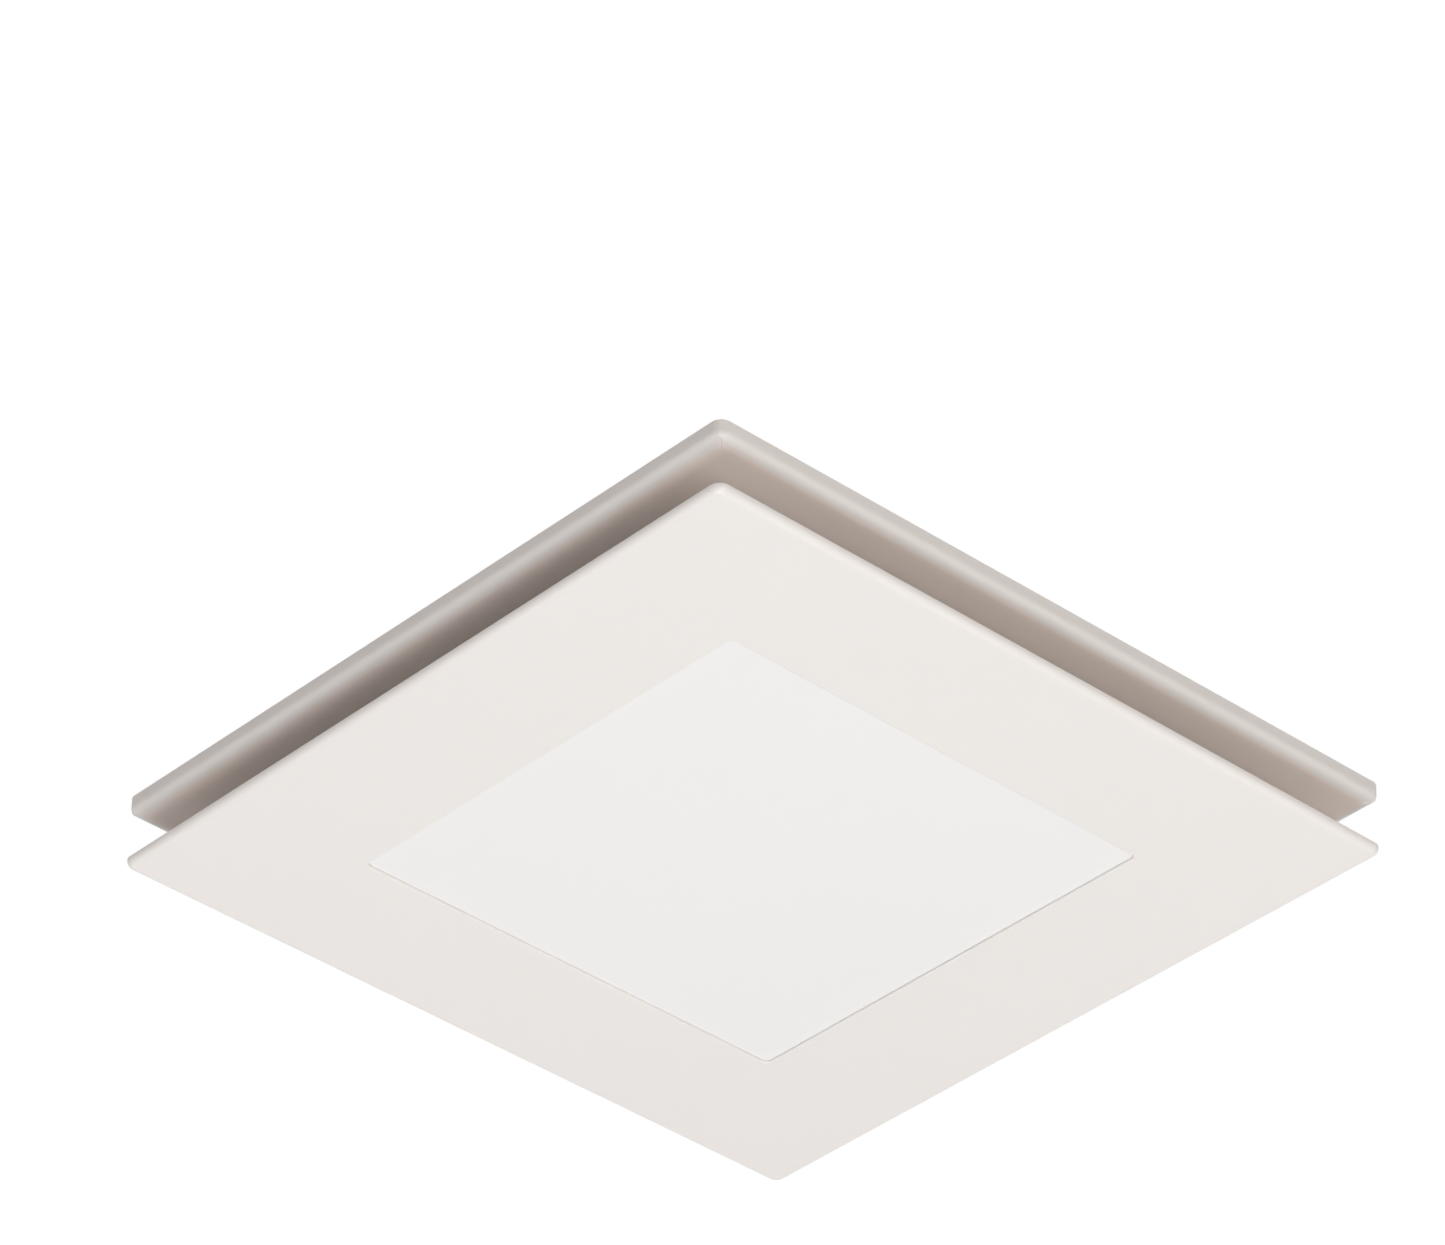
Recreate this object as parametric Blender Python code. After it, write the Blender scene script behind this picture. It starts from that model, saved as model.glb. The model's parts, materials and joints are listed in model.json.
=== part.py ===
"""Ceiling exhaust fan with a floating square fascia and an edge-lit panel.

The origin is the middle of the cut-out in the plane of the ceiling. +Z points up into the roof space,
so the fan is above zero and the bezel and fascia hang below it. The outlet points along +X.
"""
import math

import bmesh
import bpy
from mathutils import Matrix, Vector

MM = 0.001

# Fits
SEAT = 0.3 * MM
SLIP = 0.5 * MM
SINK = 0.6 * MM
OVERRUN = 2.0 * MM
WELD = 0.0006 * MM
SHARP_ANGLE = math.radians(35.0)

# Bezel against the ceiling
BEZEL_SIDE = 300.0 * MM
BEZEL_CORNER = 4.0 * MM
BEZEL_LEAST_CORNER = 0.4 * MM
BEZEL_BACK_CORNER = 1.0 * MM
BEZEL_WALL_DROP = 2.7 * MM
BEZEL_ROLL_DROP = 4.2 * MM
BEZEL_ROLL_INSET = 8.0 * MM
BEZEL_SKIN = 2.7 * MM
BEZEL_RIM = 3.0 * MM
CUTOUT_SIDE = 262.0 * MM
COLLAR_CLEARANCE = 2.0 * MM
COLLAR_WALL = 2.5 * MM
COLLAR_CORNER = 8.0 * MM
COLLAR_HEIGHT = 24.0 * MM
THROAT_RADIUS = 85.0 * MM
BOARD_THICKNESS = 10.0 * MM

# Fascia and the panel light on its back
FASCIA_SIDE = 300.0 * MM
FASCIA_CORNER = 5.0 * MM
FASCIA_THICKNESS = 3.0 * MM
FASCIA_EDGE_ROUND = 2.8 * MM
AIR_GAP = 17.8 * MM
WINDOW_SIDE = 183.0 * MM
WINDOW_CORNER = 2.5 * MM
LIGHT_RECESS = 0.9 * MM
DIFFUSER_FLANGE = 4.0 * MM
DIFFUSER_FLANGE_THICKNESS = 1.5 * MM
GUIDE_MARGIN = 0.5 * MM
GUIDE_THICKNESS = 3.0 * MM
STRIP_WIDTH = 1.4 * MM
REFLECTOR_THICKNESS = 0.5 * MM
TRAY_WALL = 1.2 * MM

# Carrier, posts and catches between fascia and bezel
CARRIER_WIDTH = 14.0 * MM
CARRIER_THICKNESS = 2.5 * MM
CARRIER_MARGIN = 2.4 * MM
POST_RADIUS = 4.0 * MM
POST_HEIGHT = 34.0 * MM
POST_TAPER = 1.2 * MM
POST_HOLE_CLEARANCE = 1.0 * MM
CLIP_WALL = 3.5 * MM
CLIP_HEIGHT = 18.0 * MM
CLIP_SLOT = 2.0 * MM
CLIP_SLOT_DEPTH = 12.0 * MM
PLUG_Y = 60.0 * MM
PLUG_LENGTH = 9.0 * MM
PLUG_WIDTH = 6.0 * MM
PLUG_TIP = 5.0 * MM
SOCKET_WALL = 2.5 * MM
SOCKET_HEIGHT = 16.0 * MM
SOCKET_ROOF = 4.0 * MM

# Grille and bell mouth
GUARD_LAP = 5.0 * MM
GUARD_THICKNESS = 3.0 * MM
GUARD_BAR = 2.0 * MM
GUARD_RINGS = 4
GUARD_SPOKES = 6
GUARD_HUB_RADIUS = 9.0 * MM
GUARD_SECTORS = 24
MOUTH_RADIUS = 84.0 * MM
EYE_RADIUS = 60.0 * MM
INLET_WALL = 2.0 * MM
INLET_FLANGE = 8.0 * MM
INLET_REACH = 6.6 * MM

# Housing of the fan
BASE_MARGIN = 2.0 * MM
BASE_THICKNESS = 3.0 * MM
SCROLL_CLEARANCE = 9.0 * MM
SCROLL_END_RADIUS = 106.0 * MM
SCROLL_START_ANGLE = math.radians(-35.0)
SCROLL_END_ANGLE = math.radians(270.0)
SCROLL_WALL = 2.0 * MM
SCROLL_HEIGHT = 70.0 * MM
SCROLL_STEPS = 26
OUTLET_INSET = 14.0 * MM
COVER_THICKNESS = 2.5 * MM
COVER_LIP = 3.0 * MM
COVER_HOLE_RADIUS = 14.0 * MM
COVER_BOSS_RADIUS = 5.0 * MM
COVER_BOSS_DEPTH = 6.0 * MM

# Impeller
IMPELLER_RADIUS = 70.0 * MM
IMPELLER_LIFT = 3.7 * MM
IMPELLER_HEIGHT = 58.0 * MM
IMPELLER_PLATE = 2.5 * MM
SHROUD_HEIGHT = 4.2 * MM
SHROUD_WIDTH = 6.0 * MM
BLADE_COUNT = 26
BLADE_CHORD = 11.5 * MM
BLADE_EDGE = 0.8 * MM
BLADE_THICKNESS = 1.6 * MM
BLADE_BOW = 1.9 * MM
BLADE_SWEEP = math.radians(8.0)
HUB_RADIUS = 9.0 * MM
HUB_ABOVE = 3.5 * MM
HUB_BELOW = 8.0 * MM
NUT_RADIUS = 7.0 * MM
NUT_HEIGHT = 6.0 * MM
SHAFT_RADIUS = 4.0 * MM
SHAFT_TAIL = 2.0 * MM

# Motor on its three grommets
CAN_RADIUS = 41.0 * MM
CAN_WALL = 1.5 * MM
CAN_FLOOR = 2.0 * MM
CAN_HEIGHT = 36.0 * MM
CAN_EDGE = 3.0 * MM
CAN_SHAFT_HOLE = 6.0 * MM
BEARING_RADIUS = 11.0 * MM
BEARING_HEIGHT = 7.0 * MM
BEARING_SEAT_WALL = 2.0 * MM
ROTOR_RADIUS = 24.0 * MM
CORE_HEIGHT = 14.0 * MM
ROTOR_GAP = 0.8 * MM
WINDING_WIDTH = 5.0 * MM
WINDING_OVERHANG = 4.5 * MM
MOTOR_FIXINGS = 3
FIXING_RADIUS = 50.0 * MM
EAR_RADIUS = 9.0 * MM
EAR_RELIEF = 0.15 * MM
GROMMET_NECK = 5.0 * MM
GROMMET_FLANGE = 7.5 * MM
GROMMET_FLANGE_THICKNESS = 2.5 * MM
SCREW_RADIUS = 2.1 * MM
SCREW_HEAD_RADIUS = 5.0 * MM
SCREW_HEAD_HEIGHT = 2.6 * MM
SCREW_TIP_MARGIN = 1.0 * MM

# Supply side and light driver on the base plate
TERMINAL_BOX = Vector((50.0, 38.0, 34.0)) * MM
BOX_MARGIN = 5.0 * MM
GLAND_ROOM = 17.0 * MM
BOX_WALL = 2.0 * MM
LID_THICKNESS = 2.0 * MM
LID_LIP = 3.0 * MM
TERMINAL_BLOCK = Vector((30.0, 14.0, 12.0)) * MM
BLOCK_POLE_RADIUS = 1.6 * MM
BLOCK_POLES = 3
GLAND_RADIUS = 8.0 * MM
GLAND_BORE = 4.5 * MM
GLAND_HEX_RADIUS = 10.5 * MM
GLAND_HEX_HEIGHT = 6.0 * MM
GLAND_NOSE = 8.0 * MM
GLAND_TAPER = 0.6 * MM
DRIVER_BOX = Vector((54.0, 38.0, 22.0)) * MM
SWITCH_SLOT = Vector((13.0, 5.4, 2.5)) * MM
SWITCH_KNOB = Vector((5.0, 4.4, 4.5)) * MM
SWITCH_TRAVEL = 3.0 * MM
CAPACITOR_RADIUS = 15.0 * MM
CAPACITOR_HEIGHT = 45.0 * MM
CAPACITOR_EDGE = 2.0 * MM
CAPACITOR_INSET = 23.0 * MM
CUP_WALL = 2.0 * MM
CUP_HEIGHT = 10.0 * MM
LEAD_RADIUS = 2.5 * MM
LEAD_HOLE_CLEARANCE = 3.0 * MM
DRIVER_LEAD_INSET = 18.0 * MM
LEAD_SPACING = 5.5 * MM
LEAD_END = 8.0 * MM
LEAD_BEND = 20.0 * MM
LEAD_LANDING = 32.0 * MM
LEAD_EXIT_SHARE = 0.7
LEAD_EDGE_SHARE = 0.92
LEAD_CROSSING_SHARE = 0.6
LEAD_ENTRY_SHARE = 1.2

# Sprung arms on the ceiling board
ARM_INSET = 7.0 * MM
ARM_OFFSET = 40.0 * MM
ARM_PIN_LIFT = 8.0 * MM
ARM_WIDTH = 14.0 * MM
ARM_HUB_RADIUS = 5.0 * MM
ARM_THICKNESS = 4.0 * MM
ARM_ELBOW = 10.0 * MM
ARM_HEEL = 6.0 * MM
ARM_FOOT_START = 17.0 * MM
ARM_FOOT_END = 35.0 * MM
TRUNNION_RADIUS = 2.5 * MM
EAR_THICKNESS = 2.5 * MM
EAR_HALF_WIDTH = 5.0 * MM
SPRING_LENGTH = 6.0 * MM
SPRING_WIRE = 1.6 * MM

# Outlet with its damper
ADAPTER_WALL = 2.0 * MM
ADAPTER_FLANGE = 3.0 * MM
ADAPTER_STRAIGHT = 16.0 * MM
ADAPTER_BLEND = 23.0 * MM
SPIGOT_RADIUS = 49.0 * MM
SPIGOT_LENGTH = 46.0 * MM
DAMPER_PLACE = 16.0 * MM
STOP_HEIGHT = 2.5 * MM
STOP_WIDTH = 2.0 * MM
STOP_CLEARANCE = 0.4 * MM
FLAP_THICKNESS = 1.2 * MM
FLAP_CLEARANCE = 1.5 * MM
ROD_RADIUS = 2.0 * MM
KNUCKLE_RADIUS = 3.6 * MM
KNUCKLE_LENGTH = 8.0 * MM
KNUCKLE_GAP = 3.0 * MM
KNUCKLE_SPACING = 8.0 * MM
DAMPER_SPRING_LENGTH = 10.0 * MM

# Faceting
CORNER_STEPS = 4
SIDE_STEPS = 3
ROUND_STEPS = 28
SMALL_STEPS = 10
ROLL_STEPS = 4
DUCT_STEPS = 32
HEX_SIDES = 6

# Levels worked out from the sizes above
UNDERSIDE = -(BEZEL_WALL_DROP + BEZEL_ROLL_DROP)
BEZEL_TOP = UNDERSIDE + BEZEL_SKIN
COLLAR_HALF = CUTOUT_SIDE / 2 - COLLAR_CLEARANCE
FASCIA_TOP = UNDERSIDE - AIR_GAP
FASCIA_FACE = FASCIA_TOP - FASCIA_THICKNESS
FLANGE_LEVEL = FASCIA_TOP + SEAT
FLANGE_TOP = FLANGE_LEVEL + DIFFUSER_FLANGE_THICKNESS
GUIDE_LEVEL = FLANGE_TOP + SEAT
REFLECTOR_LEVEL = GUIDE_LEVEL + GUIDE_THICKNESS + SEAT
TRAY_LEVEL = REFLECTOR_LEVEL + REFLECTOR_THICKNESS + SEAT
GUIDE_HALF = WINDOW_SIDE / 2 + GUIDE_MARGIN
STRIP_OUTER = GUIDE_HALF + SEAT + STRIP_WIDTH
TRAY_OUTER = STRIP_OUTER + SEAT + TRAY_WALL
CARRIER_INNER = TRAY_OUTER + CARRIER_MARGIN
CARRIER_OUTER = CARRIER_INNER + CARRIER_WIDTH
POST_PLACE = CARRIER_INNER + CARRIER_WIDTH / 2
CARRIER_LEVEL = FASCIA_TOP + SEAT
CARRIER_TOP = CARRIER_LEVEL + CARRIER_THICKNESS
SEAT_LEVEL = BEZEL_TOP + SEAT
GUARD_TOP = SEAT_LEVEL + GUARD_THICKNESS
MOUTH_LEVEL = GUARD_TOP + SEAT
BASE_LEVEL = COLLAR_HEIGHT + SEAT
BASE_TOP = BASE_LEVEL + BASE_THICKNESS
BASE_HALF = COLLAR_HALF - BASE_MARGIN
DECK = BASE_TOP + SEAT
SCROLL_TOP = DECK + SCROLL_HEIGHT
COVER_LEVEL = SCROLL_TOP + SEAT
COVER_TOP = COVER_LEVEL + COVER_THICKNESS
SCROLL_START_RADIUS = IMPELLER_RADIUS + SCROLL_CLEARANCE
TONGUE_Y = SCROLL_START_RADIUS * math.sin(SCROLL_START_ANGLE)
IMPELLER_LEVEL = BASE_TOP + IMPELLER_LIFT
IMPELLER_TOP = IMPELLER_LEVEL + IMPELLER_HEIGHT
HUB_LEVEL = IMPELLER_TOP - IMPELLER_PLATE - HUB_BELOW
GROMMET_LEVEL = COVER_TOP + SEAT
EAR_LEVEL = GROMMET_LEVEL + GROMMET_FLANGE_THICKNESS + SEAT
EAR_TOP = EAR_LEVEL + CAN_FLOOR
GROMMET_TOP = EAR_TOP + SEAT + GROMMET_FLANGE_THICKNESS
CAN_TOP = EAR_LEVEL + CAN_HEIGHT
CAN_SPLIT = EAR_LEVEL + CAN_HEIGHT / 2
CORE_LEVEL = CAN_SPLIT - CORE_HEIGHT / 2
PIN_PLACE = BASE_HALF - ARM_INSET
PIN_LEVEL = BASE_TOP + ARM_PIN_LIFT
BOX_EDGE = BASE_HALF - BOX_MARGIN
TERMINAL_BOX_CORNER = Vector((GLAND_ROOM - BASE_HALF, BOX_EDGE - TERMINAL_BOX.y))
DRIVER_CORNER = Vector((BOX_EDGE - DRIVER_BOX.x, BOX_EDGE - DRIVER_BOX.y))
DRIVER_LEAD_Y = BOX_EDGE - DRIVER_LEAD_INSET
CAPACITOR_PLACE = Vector((CAPACITOR_INSET - BASE_HALF, CAPACITOR_INSET - BASE_HALF))
OUTLET_REACH = BASE_HALF - OUTLET_INSET
OUTLET_Y = (TONGUE_Y - SCROLL_END_RADIUS) / 2
OUTLET_Z = DECK + SCROLL_HEIGHT / 2
ADAPTER_START = OUTLET_REACH + SEAT
BLEND_START = ADAPTER_START + ADAPTER_STRAIGHT
SPIGOT_START = BLEND_START + ADAPTER_BLEND
SPIGOT_END = SPIGOT_START + SPIGOT_LENGTH
SPIGOT_INNER = SPIGOT_RADIUS - ADAPTER_WALL
DAMPER_X = SPIGOT_START + DAMPER_PLACE

# Colours
WHITE_ABS = (0.83, 0.81, 0.79)
GREY_ABS = (0.55, 0.56, 0.57)
OPAL = (0.86, 0.86, 0.85)
GALVANISED = (0.56, 0.57, 0.58)
STEEL = (0.62, 0.62, 0.63)
ALUMINIUM = (0.75, 0.76, 0.77)
RUBBER = (0.05, 0.05, 0.055)
FOAM = (0.16, 0.16, 0.17)
COPPER = (0.62, 0.30, 0.16)
NYLON = (0.72, 0.70, 0.64)
BLACK = (0.03, 0.03, 0.035)
ACRYLIC = (0.90, 0.92, 0.93)
BOARD = (0.85, 0.85, 0.80)
PAPER = (0.90, 0.90, 0.90)


def material(name, colour, roughness, metallic=0.0):
    """One Principled material, made once and shared."""
    found = bpy.data.materials.get(name)
    if found:
        return found
    made = bpy.data.materials.new(name)
    made.use_nodes = True
    shader = made.node_tree.nodes["Principled BSDF"]
    shader.inputs["Base Color"].default_value = (*colour, 1.0)
    shader.inputs["Roughness"].default_value = roughness
    shader.inputs["Metallic"].default_value = metallic
    made.diffuse_color = (*colour, 1.0)
    return made


def white_abs():
    return material("white_abs", WHITE_ABS, 0.42)


def grey_abs():
    return material("grey_abs", GREY_ABS, 0.5)


def nylon():
    return material("nylon", NYLON, 0.45)


def galvanised():
    return material("galvanised", GALVANISED, 0.38, 1.0)


def steel():
    return material("steel", STEEL, 0.3, 1.0)


def rubber():
    return material("rubber", RUBBER, 0.75)


def black_plastic():
    return material("black_plastic", BLACK, 0.45)


def finish(name, mesh_data, surface, origin=None):
    """Turn a bmesh into a named object with its faces pointing out and its origin where asked."""
    bmesh.ops.remove_doubles(mesh_data, verts=mesh_data.verts, dist=WELD)
    bmesh.ops.recalc_face_normals(mesh_data, faces=mesh_data.faces)
    mesh = bpy.data.meshes.new(name)
    mesh_data.to_mesh(mesh)
    mesh_data.free()
    mesh.materials.append(surface)
    mesh.shade_smooth()
    mesh.set_sharp_from_angle(angle=SHARP_ANGLE)
    piece = bpy.data.objects.new(name, mesh)
    bpy.context.scene.collection.objects.link(piece)
    if origin is not None:
        mesh.transform(Matrix.Translation(-Vector(origin)))
        piece.location = origin
    return piece


def boolean(piece, operation, tool_data):
    """Cut a bmesh out of a piece, or join it on, and keep the result as the piece's own mesh."""
    bmesh.ops.recalc_face_normals(tool_data, faces=tool_data.faces)
    mesh = bpy.data.meshes.new("tool")
    tool_data.to_mesh(mesh)
    tool_data.free()
    tool = bpy.data.objects.new("tool", mesh)
    tool.hide_render = True
    tool.display_type = "WIRE"
    tool.location = piece.location
    mesh.transform(Matrix.Translation(-piece.location))
    bpy.context.scene.collection.objects.link(tool)
    step = piece.modifiers.new("shape", "BOOLEAN")
    step.operation = operation
    step.solver = "EXACT"
    step.object = tool
    bpy.context.view_layer.update()
    graph = bpy.context.evaluated_depsgraph_get()
    solved = bpy.data.meshes.new_from_object(piece.evaluated_get(graph), depsgraph=graph)
    solved.name = piece.name
    piece.modifiers.clear()
    piece.data = solved
    surface = solved.materials[0]
    solved.materials.clear()
    solved.materials.append(surface)
    solved.shade_smooth()
    solved.set_sharp_from_angle(angle=SHARP_ANGLE)
    bpy.data.objects.remove(tool, do_unlink=True)
    bpy.data.meshes.remove(mesh)
    return piece


def cut(piece, tool_data):
    return boolean(piece, "DIFFERENCE", tool_data)


def join(piece, tool_data):
    return boolean(piece, "UNION", tool_data)


def copies(piece, name, count):
    """Numbered copies of a piece turned evenly about the Z axis, sharing its mesh."""
    base = Vector(piece.location)
    for index in range(count):
        turn = math.tau * index / count
        copy = piece if index == 0 else bpy.data.objects.new(name, piece.data)
        if index:
            bpy.context.scene.collection.objects.link(copy)
        copy.name = "%s_%d" % (name, index + 1)
        copy.location = Matrix.Rotation(turn, 4, "Z") @ base
        copy.rotation_euler = (0, 0, turn)


def placed(data, start, matrix):
    """Move the vertices added to a bmesh since it had this many."""
    if matrix is not None:
        bmesh.ops.transform(data, matrix=matrix, verts=list(data.verts)[start:])


def add_rings(data, rings, closed, matrix=None):
    """Skin a row of rings with equally many points. Closed rows meet end to start, others get flat ends."""
    start = len(data.verts)
    rows = [[data.verts.new(point) for point in ring] for ring in rings]
    pairs = list(zip(rows, rows[1:]))
    if closed:
        pairs.append((rows[-1], rows[0]))
    for low, high in pairs:
        for index in range(len(low)):
            after = (index + 1) % len(low)
            data.faces.new((low[index], low[after], high[after], high[index]))
    if not closed:
        data.faces.new(rows[0])
        data.faces.new(rows[-1])
    placed(data, start, matrix)


def add_turned(data, profile, steps, matrix=None, closed=True):
    """Turn a profile of (radius, height) points about Z."""
    turns = [math.tau * index / steps for index in range(steps)]
    rings = [[(radius * math.cos(turn), radius * math.sin(turn), height) for turn in turns]
             for radius, height in profile]
    add_rings(data, rings, closed, matrix)


def add_rod(data, radius, low, high, steps, matrix=None):
    add_turned(data, [(radius, low), (radius, high)], steps, matrix, closed=False)


def add_tube(data, inner, outer, low, high, steps, matrix=None):
    add_turned(data, [(inner, low), (outer, low), (outer, high), (inner, high)], steps, matrix)


def add_box(data, low, high, matrix=None):
    outline = [(low[0], low[1]), (high[0], low[1]), (high[0], high[1]), (low[0], high[1])]
    add_rings(data, [[(x, y, z) for x, y in outline] for z in (low[2], high[2])], False, matrix)


def add_plate(data, outlines, low, high, matrix=None):
    """A flat plate from an outline followed by its holes."""
    start = len(data.verts)
    edges = []
    for outline in outlines:
        loop = [data.verts.new((x, y, low)) for x, y in outline]
        edges += [data.edges.new((loop[index - 1], loop[index])) for index in range(len(loop))]
    filled = bmesh.ops.triangle_fill(data, edges=edges, use_beauty=True)
    faces = [item for item in filled["geom"] if isinstance(item, bmesh.types.BMFace)]
    raised = bmesh.ops.extrude_face_region(data, geom=faces, use_keep_orig=True)
    moved = [item for item in raised["geom"] if isinstance(item, bmesh.types.BMVert)]
    bmesh.ops.translate(data, vec=(0, 0, high - low), verts=moved)
    placed(data, start, matrix)


def circle(radius, steps, centre=(0, 0)):
    turns = [math.tau * index / steps for index in range(steps)]
    return [(centre[0] + radius * math.cos(turn), centre[1] + radius * math.sin(turn)) for turn in turns]


def rounded_square(half, corner):
    """Outline of a square with round corners, with as many points whatever its size."""
    points = []
    straight = half - corner
    for quarter in range(4):
        turn = Matrix.Rotation(math.tau * quarter / 4, 2)
        for index in range(CORNER_STEPS + 1):
            angle = math.pi / 2 * index / CORNER_STEPS
            bend = Vector((math.cos(angle), math.sin(angle))) * corner
            points.append(turn @ (Vector((straight, straight)) + bend))
        for index in range(1, SIDE_STEPS):
            points.append(turn @ Vector((straight - 2 * straight * index / SIDE_STEPS, half)))
    return points


def matching_circle(radius):
    """Circle whose points pair up with those of a rounded square."""
    count = 4 * (CORNER_STEPS + SIDE_STEPS)
    first = math.pi / 4 - math.tau * CORNER_STEPS / 2 / count
    turns = [first + math.tau * index / count for index in range(count)]
    return [(radius * math.cos(turn), radius * math.sin(turn)) for turn in turns]


def ring_at(outline, level):
    return [(x, y, level) for x, y in outline]


def square_ring(half, corner, level):
    return ring_at(rounded_square(half, corner), level)


def clear_scene():
    for piece in list(bpy.data.objects):
        bpy.data.objects.remove(piece, do_unlink=True)


def quarters():
    return [Matrix.Rotation(math.tau * index / 4, 4, "Z") for index in range(4)]


def bezel():
    """Square moulding: rolled edge, hollow back, square collar and round throat."""
    half = BEZEL_SIDE / 2
    rings = [square_ring(half, BEZEL_CORNER, 0)]
    for index in range(ROLL_STEPS + 1):
        angle = math.pi / 2 * index / ROLL_STEPS
        inset = BEZEL_ROLL_INSET * (1 - math.cos(angle))
        drop = BEZEL_WALL_DROP + BEZEL_ROLL_DROP * math.sin(angle)
        rings.append(square_ring(half - inset, max(BEZEL_CORNER - inset, BEZEL_LEAST_CORNER), -drop))
    rings.append(ring_at(matching_circle(THROAT_RADIUS), UNDERSIDE))
    rings.append(ring_at(matching_circle(THROAT_RADIUS), BEZEL_TOP))
    collar_inner = COLLAR_HALF - COLLAR_WALL
    for wall, level in ((collar_inner, BEZEL_TOP), (collar_inner, COLLAR_HEIGHT)):
        rings.append(square_ring(wall, COLLAR_CORNER - COLLAR_WALL, level))
    for level in (COLLAR_HEIGHT, BEZEL_TOP):
        rings.append(square_ring(COLLAR_HALF, COLLAR_CORNER, level))
    for level in (BEZEL_TOP, 0):
        rings.append(square_ring(half - BEZEL_RIM, BEZEL_BACK_CORNER, level))
    data = bmesh.new()
    add_rings(data, rings, True)
    piece = finish("bezel", data, white_abs())
    holes = bmesh.new()
    for turn in quarters():
        add_rod(holes, POST_RADIUS + POST_HOLE_CLEARANCE, UNDERSIDE - OVERRUN, BEZEL_TOP + OVERRUN,
                SMALL_STEPS, turn @ Matrix.Translation((POST_PLACE, POST_PLACE, 0)))
    reach_x = PLUG_WIDTH / 2 + POST_HOLE_CLEARANCE
    reach_y = PLUG_LENGTH / 2 + POST_HOLE_CLEARANCE
    add_box(holes, (POST_PLACE - reach_x, PLUG_Y - reach_y, UNDERSIDE - OVERRUN),
            (POST_PLACE + reach_x, PLUG_Y + reach_y, BEZEL_TOP + OVERRUN))
    return cut(piece, holes)


def ceiling_gasket():
    """Foam ring in the hollow back of the bezel."""
    outer = BEZEL_SIDE / 2 - BEZEL_RIM - SEAT
    inner = COLLAR_HALF + SEAT
    data = bmesh.new()
    rings = [square_ring(outer, BEZEL_BACK_CORNER, SEAT_LEVEL), square_ring(outer, BEZEL_BACK_CORNER, 0),
             square_ring(inner, COLLAR_CORNER, 0), square_ring(inner, COLLAR_CORNER, SEAT_LEVEL)]
    add_rings(data, rings, True)
    return finish("ceiling_gasket", data, material("foam", FOAM, 0.95))


def fascia_panel():
    """Floating square plate with a rounded lower edge and a window for the light."""
    half = FASCIA_SIDE / 2
    rings = [square_ring(half, FASCIA_CORNER, FASCIA_TOP)]
    for index in range(ROLL_STEPS + 1):
        angle = math.pi / 2 * index / ROLL_STEPS
        inset = FASCIA_EDGE_ROUND * (1 - math.cos(angle))
        level = FASCIA_FACE + FASCIA_EDGE_ROUND * (1 - math.sin(angle))
        rings.append(square_ring(half - inset, FASCIA_CORNER - inset, level))
    for level in (FASCIA_FACE, FASCIA_TOP):
        rings.append(square_ring(WINDOW_SIDE / 2, WINDOW_CORNER, level))
    data = bmesh.new()
    add_rings(data, rings, True)
    return finish("fascia_panel", data, white_abs())


def light_diffuser():
    """Opal plate that drops into the window and rests on its flange."""
    boss = WINDOW_SIDE / 2 - SEAT
    flange = WINDOW_SIDE / 2 + DIFFUSER_FLANGE
    rings = [square_ring(boss, WINDOW_CORNER, FASCIA_FACE + LIGHT_RECESS),
             square_ring(boss, WINDOW_CORNER, FLANGE_LEVEL),
             square_ring(flange, WINDOW_CORNER, FLANGE_LEVEL),
             square_ring(flange, WINDOW_CORNER, FLANGE_TOP)]
    data = bmesh.new()
    add_rings(data, rings, False)
    return finish("light_diffuser", data, material("opal", OPAL, 0.3))


def light_stack():
    """Light guide, strip of lights round it, reflector and the aluminium tray over them."""
    data = bmesh.new()
    add_rings(data, [square_ring(GUIDE_HALF, WINDOW_CORNER, level)
                     for level in (GUIDE_LEVEL, GUIDE_LEVEL + GUIDE_THICKNESS)], False)
    finish("light_guide", data, material("acrylic", ACRYLIC, 0.05))
    inner = GUIDE_HALF + SEAT
    data = bmesh.new()
    top = GUIDE_LEVEL + GUIDE_THICKNESS
    add_rings(data, [square_ring(inner, WINDOW_CORNER, GUIDE_LEVEL),
                     square_ring(STRIP_OUTER, WINDOW_CORNER, GUIDE_LEVEL),
                     square_ring(STRIP_OUTER, WINDOW_CORNER, top),
                     square_ring(inner, WINDOW_CORNER, top)], True)
    finish("led_strip", data, material("board", BOARD, 0.4))
    data = bmesh.new()
    add_rings(data, [square_ring(STRIP_OUTER, WINDOW_CORNER, level)
                     for level in (REFLECTOR_LEVEL, REFLECTOR_LEVEL + REFLECTOR_THICKNESS)], False)
    finish("reflector_sheet", data, material("paper", PAPER, 0.6))
    data = bmesh.new()
    tray_inner = STRIP_OUTER + SEAT
    add_rings(data, [square_ring(tray_inner, WINDOW_CORNER, TRAY_LEVEL),
                     square_ring(tray_inner, WINDOW_CORNER, GUIDE_LEVEL),
                     square_ring(TRAY_OUTER, WINDOW_CORNER + TRAY_WALL, GUIDE_LEVEL),
                     square_ring(TRAY_OUTER, WINDOW_CORNER + TRAY_WALL, TRAY_LEVEL + TRAY_WALL)], False)
    finish("light_back_plate", data, material("aluminium", ALUMINIUM, 0.35, 1.0))


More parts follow.
